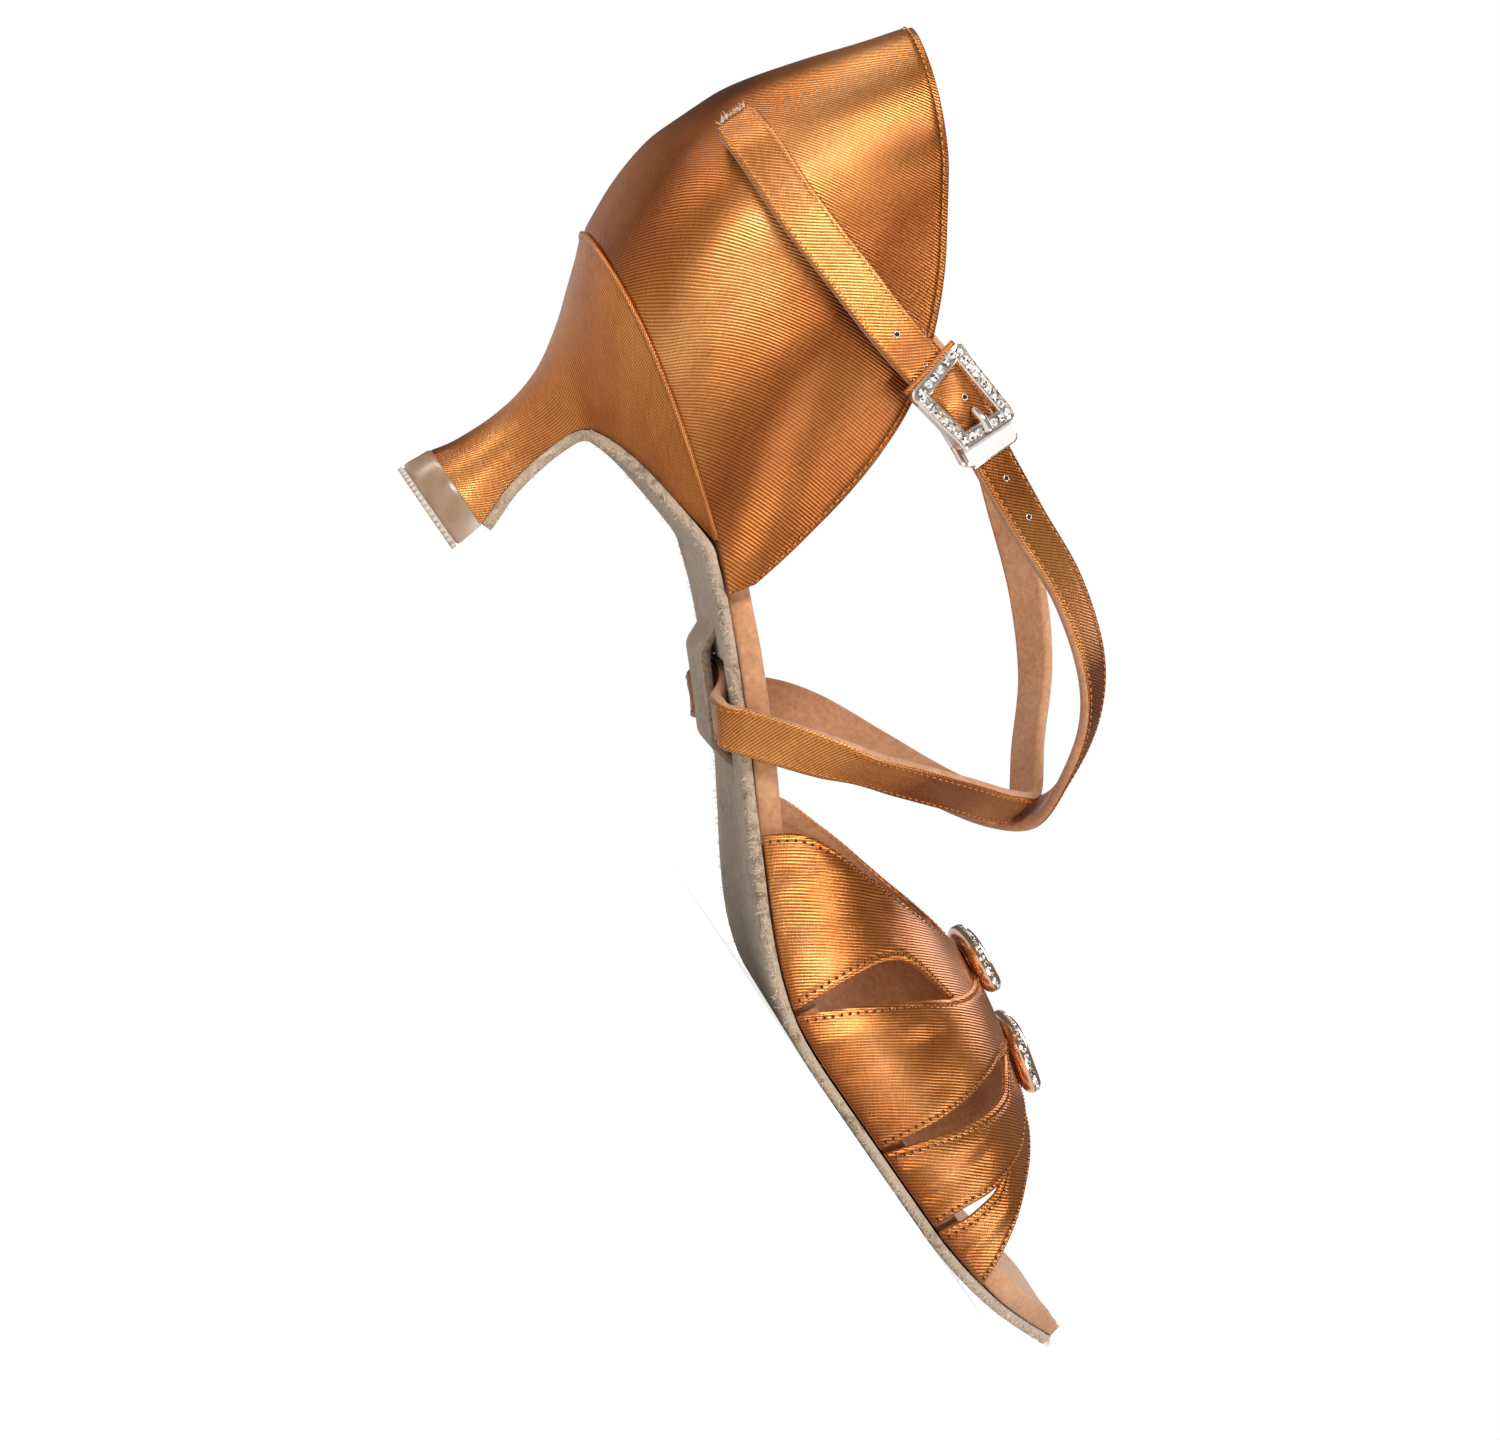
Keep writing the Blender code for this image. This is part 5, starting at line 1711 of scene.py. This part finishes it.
def stones(name, line, outs, pitch, radius, *nodes):
    """A row of stones on a line of points."""
    values = {"Pitch": pitch, "Radius": radius, "Material": painted_glint_stone}
    return fitted(grown(name, line, outs, stone_row, values, closed=True), "metal", *nodes)


def rounded_outline(half_long, half_tall, corner):
    """Places and outward ways round a rectangle with round corners."""
    places = []
    for k, (a, b) in enumerate(((1, 1), (-1, 1), (-1, -1), (1, -1))):
        for step in np.linspace(0, math.pi / 2, 6):
            way = (math.cos(k * math.pi / 2 + step), math.sin(k * math.pi / 2 + step))
            u, v = a * (half_long - corner) + way[0] * corner, b * (half_tall - corner) + way[1] * corner
            places.append((u, v, way))
    return places


def make_frame():
    """The buckle's frame, a channel with thin side walls, and the stones in it."""
    over = STRAP_THICK / 2 + 2 * GAP
    bar = BUCKLE_BAR / 2
    profile = [
        # out, high
        (-bar, 0.0),
        (-bar, FRAME_HIGH * 0.9),
        (-0.82 * bar, FRAME_HIGH),
        (-0.70 * bar, FRAME_HIGH),
        (-0.66 * bar, CHANNEL_FLOOR),
    ]
    profile += [(-o, h) for o, h in profile[::-1]]
    rings, line, outs = [], [], []
    for u, v, way in rounded_outline(BUCKLE_LONG / 2 - bar, BUCKLE_TALL / 2 - bar, CORNER):
        rings.append([buckle_place(u + way[0] * o, v + way[1] * o, over + h) for o, h in profile])
        line.append(buckle_place(u, v, over + CHANNEL_FLOOR))
        outs.append(strap_frame(buckle_middle - u)[2])
    frame_body = ring_piece("buckle_frame_cast", rings, [silver], math.radians(35), closed=True)
    fitted(frame_body, "metal", "buckle_frame")
    stones("buckle_stones", line, outs, STONE_PITCH, STONE_RADIUS, "buckle_frame")


def make_prong():
    """The prong, from the middle of the strap on to the front bar."""
    over = STRAP_THICK / 2 + 2 * GAP + PRONG_RADIUS
    line = []
    for u in np.linspace(PRONG_FROM, BUCKLE_LONG / 2 - 0.0006, 16):
        line.append(buckle_place(u, 0.0, over + 0.0003 + 0.0010 * eased((u - PRONG_FROM) / 0.003)))
    radii = [1.2 * PRONG_RADIUS * math.sqrt(max(1 - (1 - t) ** 6, 0.02)) for t in np.linspace(0.05, 1, 16)]
    fitted(tube("buckle_prong_pin", line, radii, silver, 10), "metal", "buckle_prong")


def plate(name, front, rear, tall, low, high, corner, look):
    """A flat plate with round corners that follows the strap."""
    middle, half = (front + rear) / 2, (front - rear) / 2
    rings = []
    lower = [(low, 0.0001), (low + 0.0001, 0.0)]
    upper = [(high - 0.0003, 0.0), (high - 0.0001, 0.0003), (high, 0.0007)]
    for level, inset in lower + upper:
        shape = rounded_outline(half - inset, tall / 2 - inset, corner)
        rings.append([buckle_place(middle + u, v, level) for u, v, _ in shape])
    return ring_piece(name, rings, [look], math.radians(30))


make_frame()
make_prong()
under_strap = STRAP_THICK / 2 + 2 * GAP
plate_rear = HOOK_REAR - BUCKLE_LONG / 2
plate_front = BUCKLE_LONG / 2 + HOOK_REACH
hook = plate(
    "buckle_hook_plate", plate_front, plate_rear, HOOK_PLATE_TALL,
    -under_strap - HOOK_PLATE_THICK, -under_strap, 0.0012, plate_look,
)
fitted(hook, "metal", "buckle_hook")
bar_rear = BUCKLE_LONG / 2 - HOOK_OVERLAP
bar_low = STRAP_THICK / 2 + GAP
hook_bar = plate(
    "buckle_hook_bar", plate_front, bar_rear, HOOK_BAR_TALL,
    bar_low, bar_low + HOOK_BAR_THICK, 0.0014, plate_look,
)
fitted(hook_bar, "metal", "buckle_hook")
hook_rim = plate(
    "buckle_hook_rim", plate_front + 0.0003, bar_rear, HOOK_BAR_TALL + 0.0007,
    bar_low, bar_low + HOOK_RIM_THICK, 0.0015, silver,
)
fitted(hook_rim, "metal", "buckle_hook")
for cheek_side in (-1, 1):
    cheek_line = []
    for u in np.linspace(BUCKLE_LONG / 2 - 0.001, plate_front - 0.0012, 8):
        cheek_line.append(buckle_place(u, cheek_side * (HOOK_BAR_TALL / 2 - CHEEK_RADIUS), -STRAP_THICK / 2))
    cheek = tube(f"buckle_hook_cheek_{cheek_side}", cheek_line, CHEEK_RADIUS, silver)
    fitted(cheek, "metal", "buckle_hook")
loop = plate(
    "buckle_loop_band", plate_rear - GAP, plate_rear - GAP - LOOP_LONG, LOOP_WIDTH,
    -under_strap - LOOP_THICK, -under_strap, 0.0006, strap_satin,
)
fitted(loop, "satin", "buckle_loop")
roll_line = []
for roll_across in np.linspace(-0.47, 0.47, 14):
    roll_place = buckle_place(-BUCKLE_LONG / 2 - 0.0003, roll_across * BUCKLE_TALL, STRAP_THICK / 2 + 0.0009)
    roll_line.append(roll_place)
fitted(tube("buckle_loop_roll", roll_line, ROLL_RADIUS, satin_edge), "satin", "buckle_loop")

# The ornaments
# Two polished links bent over the ridge of the vamp, each set with small stones, over a padded satin bump.

LINK_RADIUS = 0.0018
LINK_HALF_WIDTH = 0.0085
LINK_STONE_PITCH = 0.00118
LINK_STONE_RADIUS = 0.00054
LINK_IN = 0.93
BUMP_BASE = 0.0004
BUMP_HIGH = 0.0022
BUMP_UNDER = 0.0003
LINKS = [
    # name, node, along, half length
    ("rear", "ornament_rear", 0.677, 0.0042),
    ("front", "ornament_front", 0.762, 0.0055),
]


def around_at(along, off, side):
    """The place around the arch that lies a distance off its ridge."""
    span = abs(side * outline(along, side) - RIDGE * BALL_WIDTH)
    return 1 - math.asin(min(abs(off) / span, 1.0)) / (math.pi / 2)


def over_vamp(along, off, high):
    """A point over the vamp near its ridge, and the way out of it."""
    side = -1 if off < 0 else 1
    around = around_at(along, off, side)
    return vamp_wall(along, around, side, high), vamp_normal(along, around, side)


def make_link(word, node, along, half_length):
    """A link, its stones and the bump inside it."""
    line, flank, flank_outs = [], [], []
    for turn in [2 * math.pi * k / 60 for k in range(60)]:
        squarer = 1 / max(abs(math.cos(turn)) ** 3 + abs(math.sin(turn)) ** 3, 1e-6) ** (1 / 3)
        run, off = half_length * math.cos(turn) * squarer, LINK_HALF_WIDTH * math.sin(turn) * squarer
        run, off = run * LINK_IN, off * LINK_IN
        point, out = over_vamp(along + run / SOLE_LENGTH, off, LINK_RADIUS + 2 * GAP)
        line.append(point)
        away = np.array([run / half_length, off / LINK_HALF_WIDTH, 0.0])
        away = unit(away - out * np.dot(away, out))
        flank.append(point + (out * 0.42 + away * 0.78) * LINK_RADIUS)
        flank_outs.append(out * 0.5 + away)
    link_body = tube(f"ornament_{word}_link", line, LINK_RADIUS, rose_gold, 14, closed=True)
    fitted(link_body, "metal", node)
    stones(f"ornament_{word}_side_stones", flank, flank_outs, LINK_STONE_PITCH, LINK_STONE_RADIUS, node)
    outer, inner = [], []
    for a in np.linspace(-1, 1, 15):
        out_row, in_row = [], []
        for b in np.linspace(-1, 1, 25):
            swell = max(1 - a * a, 0.0) ** 0.5 * max(1 - b * b, 0.0) ** 0.5
            place = along + a * half_length * 0.8 / SOLE_LENGTH
            off = b * LINK_HALF_WIDTH * 0.85
            out_row.append(over_vamp(place, off, BUMP_BASE + BUMP_HIGH * swell)[0])
            in_row.append(over_vamp(place, off, BUMP_UNDER)[0])
        outer.append(out_row)
        inner.append(in_row)
    fitted(smooth(wall_piece(f"ornament_{word}_bump", outer, inner, [satin_edge])), "satin", node)


for link_args in LINKS:
    make_link(*link_args)

# Floor, light and camera
# A pale floor under soft studio light. The camera keeps the photo's angle to the shoe, rolled, and stops
# just over the floor, as the photo was taken from below it.

FLOOR_HALF = 400.0
PHOTO_ROLL = math.radians(55.5)
CAMERA_AZIMUTH = math.radians(-10)
CAMERA_DISTANCE = 0.56
CAMERA_HEIGHT = 0.007
CAMERA_TARGET = np.array([-0.0735, -0.010, 0.0265])
PHOTO_WIDTH = 0.268
SENSOR = 36.0
ROOM_LIGHT = 0.10
FLOOR_BOUNCE = 0.12
FLOOR_SEEN = 0.80
FLOOR_FAR = 1.05
FADE_FROM = 0.22
FADE_TO = 0.80

floor_mesh = bpy.data.meshes.new("floor")
floor_corners = [(a * FLOOR_HALF, b * FLOOR_HALF, 0) for a, b in ((-1, -1), (1, -1), (1, 1), (-1, 1))]
floor_mesh.from_pydata(floor_corners, [], [(0, 1, 2, 3)])
floor = in_scene("floor", floor_mesh)
floor_glows = {"Specular IOR Level": 0.0, "Emission Color": (1.0, 1.0, 1.0, 1.0)}
floor_look, floor_tree, floor_shader = new_look("floor", (0.55, 0.55, 0.55), 0.95, more=floor_glows)
floor_seen = add(floor_tree, "ShaderNodeLightPath")
floor_away = add(floor_tree, "ShaderNodeVectorMath", {0: shoe_place(floor_tree)}, operation="LENGTH")
fade_values = {
    "Value": floor_away.outputs["Value"],
    "From Min": FADE_FROM,
    "From Max": FADE_TO,
    "To Min": FLOOR_SEEN - FLOOR_BOUNCE,
    "To Max": FLOOR_FAR - FLOOR_BOUNCE,
}
fade = add(floor_tree, "ShaderNodeMapRange", fade_values, interpolation_type="SMOOTHSTEP")
floor_glow = maths(floor_tree, "MULTIPLY", floor_seen.outputs["Is Camera Ray"], fade.outputs["Result"])
floor_glow = maths(floor_tree, "ADD", floor_glow, FLOOR_BOUNCE)
floor_tree.links.new(floor_glow, floor_shader.inputs["Emission Strength"])
floor_mesh.materials.append(floor_look)

world = bpy.data.worlds.new("studio")
bpy.context.scene.world = world
world.use_nodes = True
backdrop = world.node_tree.nodes["Background"]
backdrop.inputs["Color"].default_value = (1.0, 1.0, 1.0, 1.0)
seen = add(world.node_tree, "ShaderNodeLightPath")
white_where_seen = maths(world.node_tree, "MULTIPLY", seen.outputs["Is Camera Ray"], 1.0 - ROOM_LIGHT)
strength = maths(world.node_tree, "ADD", white_where_seen, ROOM_LIGHT)
world.node_tree.links.new(strength, backdrop.inputs["Strength"])
LIGHTS = [
    # name, place, width, height, watts
    ("key", (-0.52, -0.72, 0.56), 0.14, 0.60, 8.0),
    ("front", (0.34, -0.95, 0.40), 0.12, 0.50, 4.2),
    ("side", (1.00, -0.35, 0.45), 0.30, 0.60, 4.5),
    ("rim", (-1.00, 0.05, 0.35), 0.25, 0.60, 4.0),
    ("back", (0.05, 0.60, 0.90), 0.50, 0.50, 4.5),
]
aim = Vector((-0.06, 0.0, 0.05))
for light_name, light_place, light_width, light_height, watts in LIGHTS:
    lamp = bpy.data.lights.new(light_name, "AREA")
    lamp.shape = "RECTANGLE"
    lamp.size = light_width
    lamp.size_y = light_height
    lamp.energy = watts
    lamp_object = in_scene(light_name, lamp)
    lamp_object.location = light_place
    lamp_object.rotation_euler = (aim - Vector(light_place)).to_track_quat("-Z", "Y").to_euler()

camera_data = bpy.data.cameras.new("photo")
camera_data.sensor_width = SENSOR
camera_data.lens = SENSOR * CAMERA_DISTANCE / PHOTO_WIDTH
camera = in_scene("photo", camera_data)
sink = CAMERA_TARGET[2] - CAMERA_HEIGHT
level_run = math.sqrt(CAMERA_DISTANCE ** 2 - sink ** 2)
camera_place = CAMERA_TARGET + np.array([
    math.sin(CAMERA_AZIMUTH) * level_run,
    -math.cos(CAMERA_AZIMUTH) * level_run,
    -sink,
])
look_way = (CAMERA_TARGET - camera_place) / CAMERA_DISTANCE
right_way = unit(np.cross(look_way, np.array([0, 0, 1.0])))
up_way = np.cross(right_way, look_way)
rolled_right = right_way * math.cos(PHOTO_ROLL) + up_way * math.sin(PHOTO_ROLL)
rolled_up = up_way * math.cos(PHOTO_ROLL) - right_way * math.sin(PHOTO_ROLL)
from_axes = np.eye(4)
from_axes[:3, 0] = rolled_right
from_axes[:3, 1] = rolled_up
from_axes[:3, 2] = -look_way
from_axes[:3, 3] = camera_place
camera.matrix_world = Matrix([list(map(float, row)) for row in from_axes])
bpy.context.scene.camera = camera
bpy.context.scene.view_settings.view_transform = "Standard"
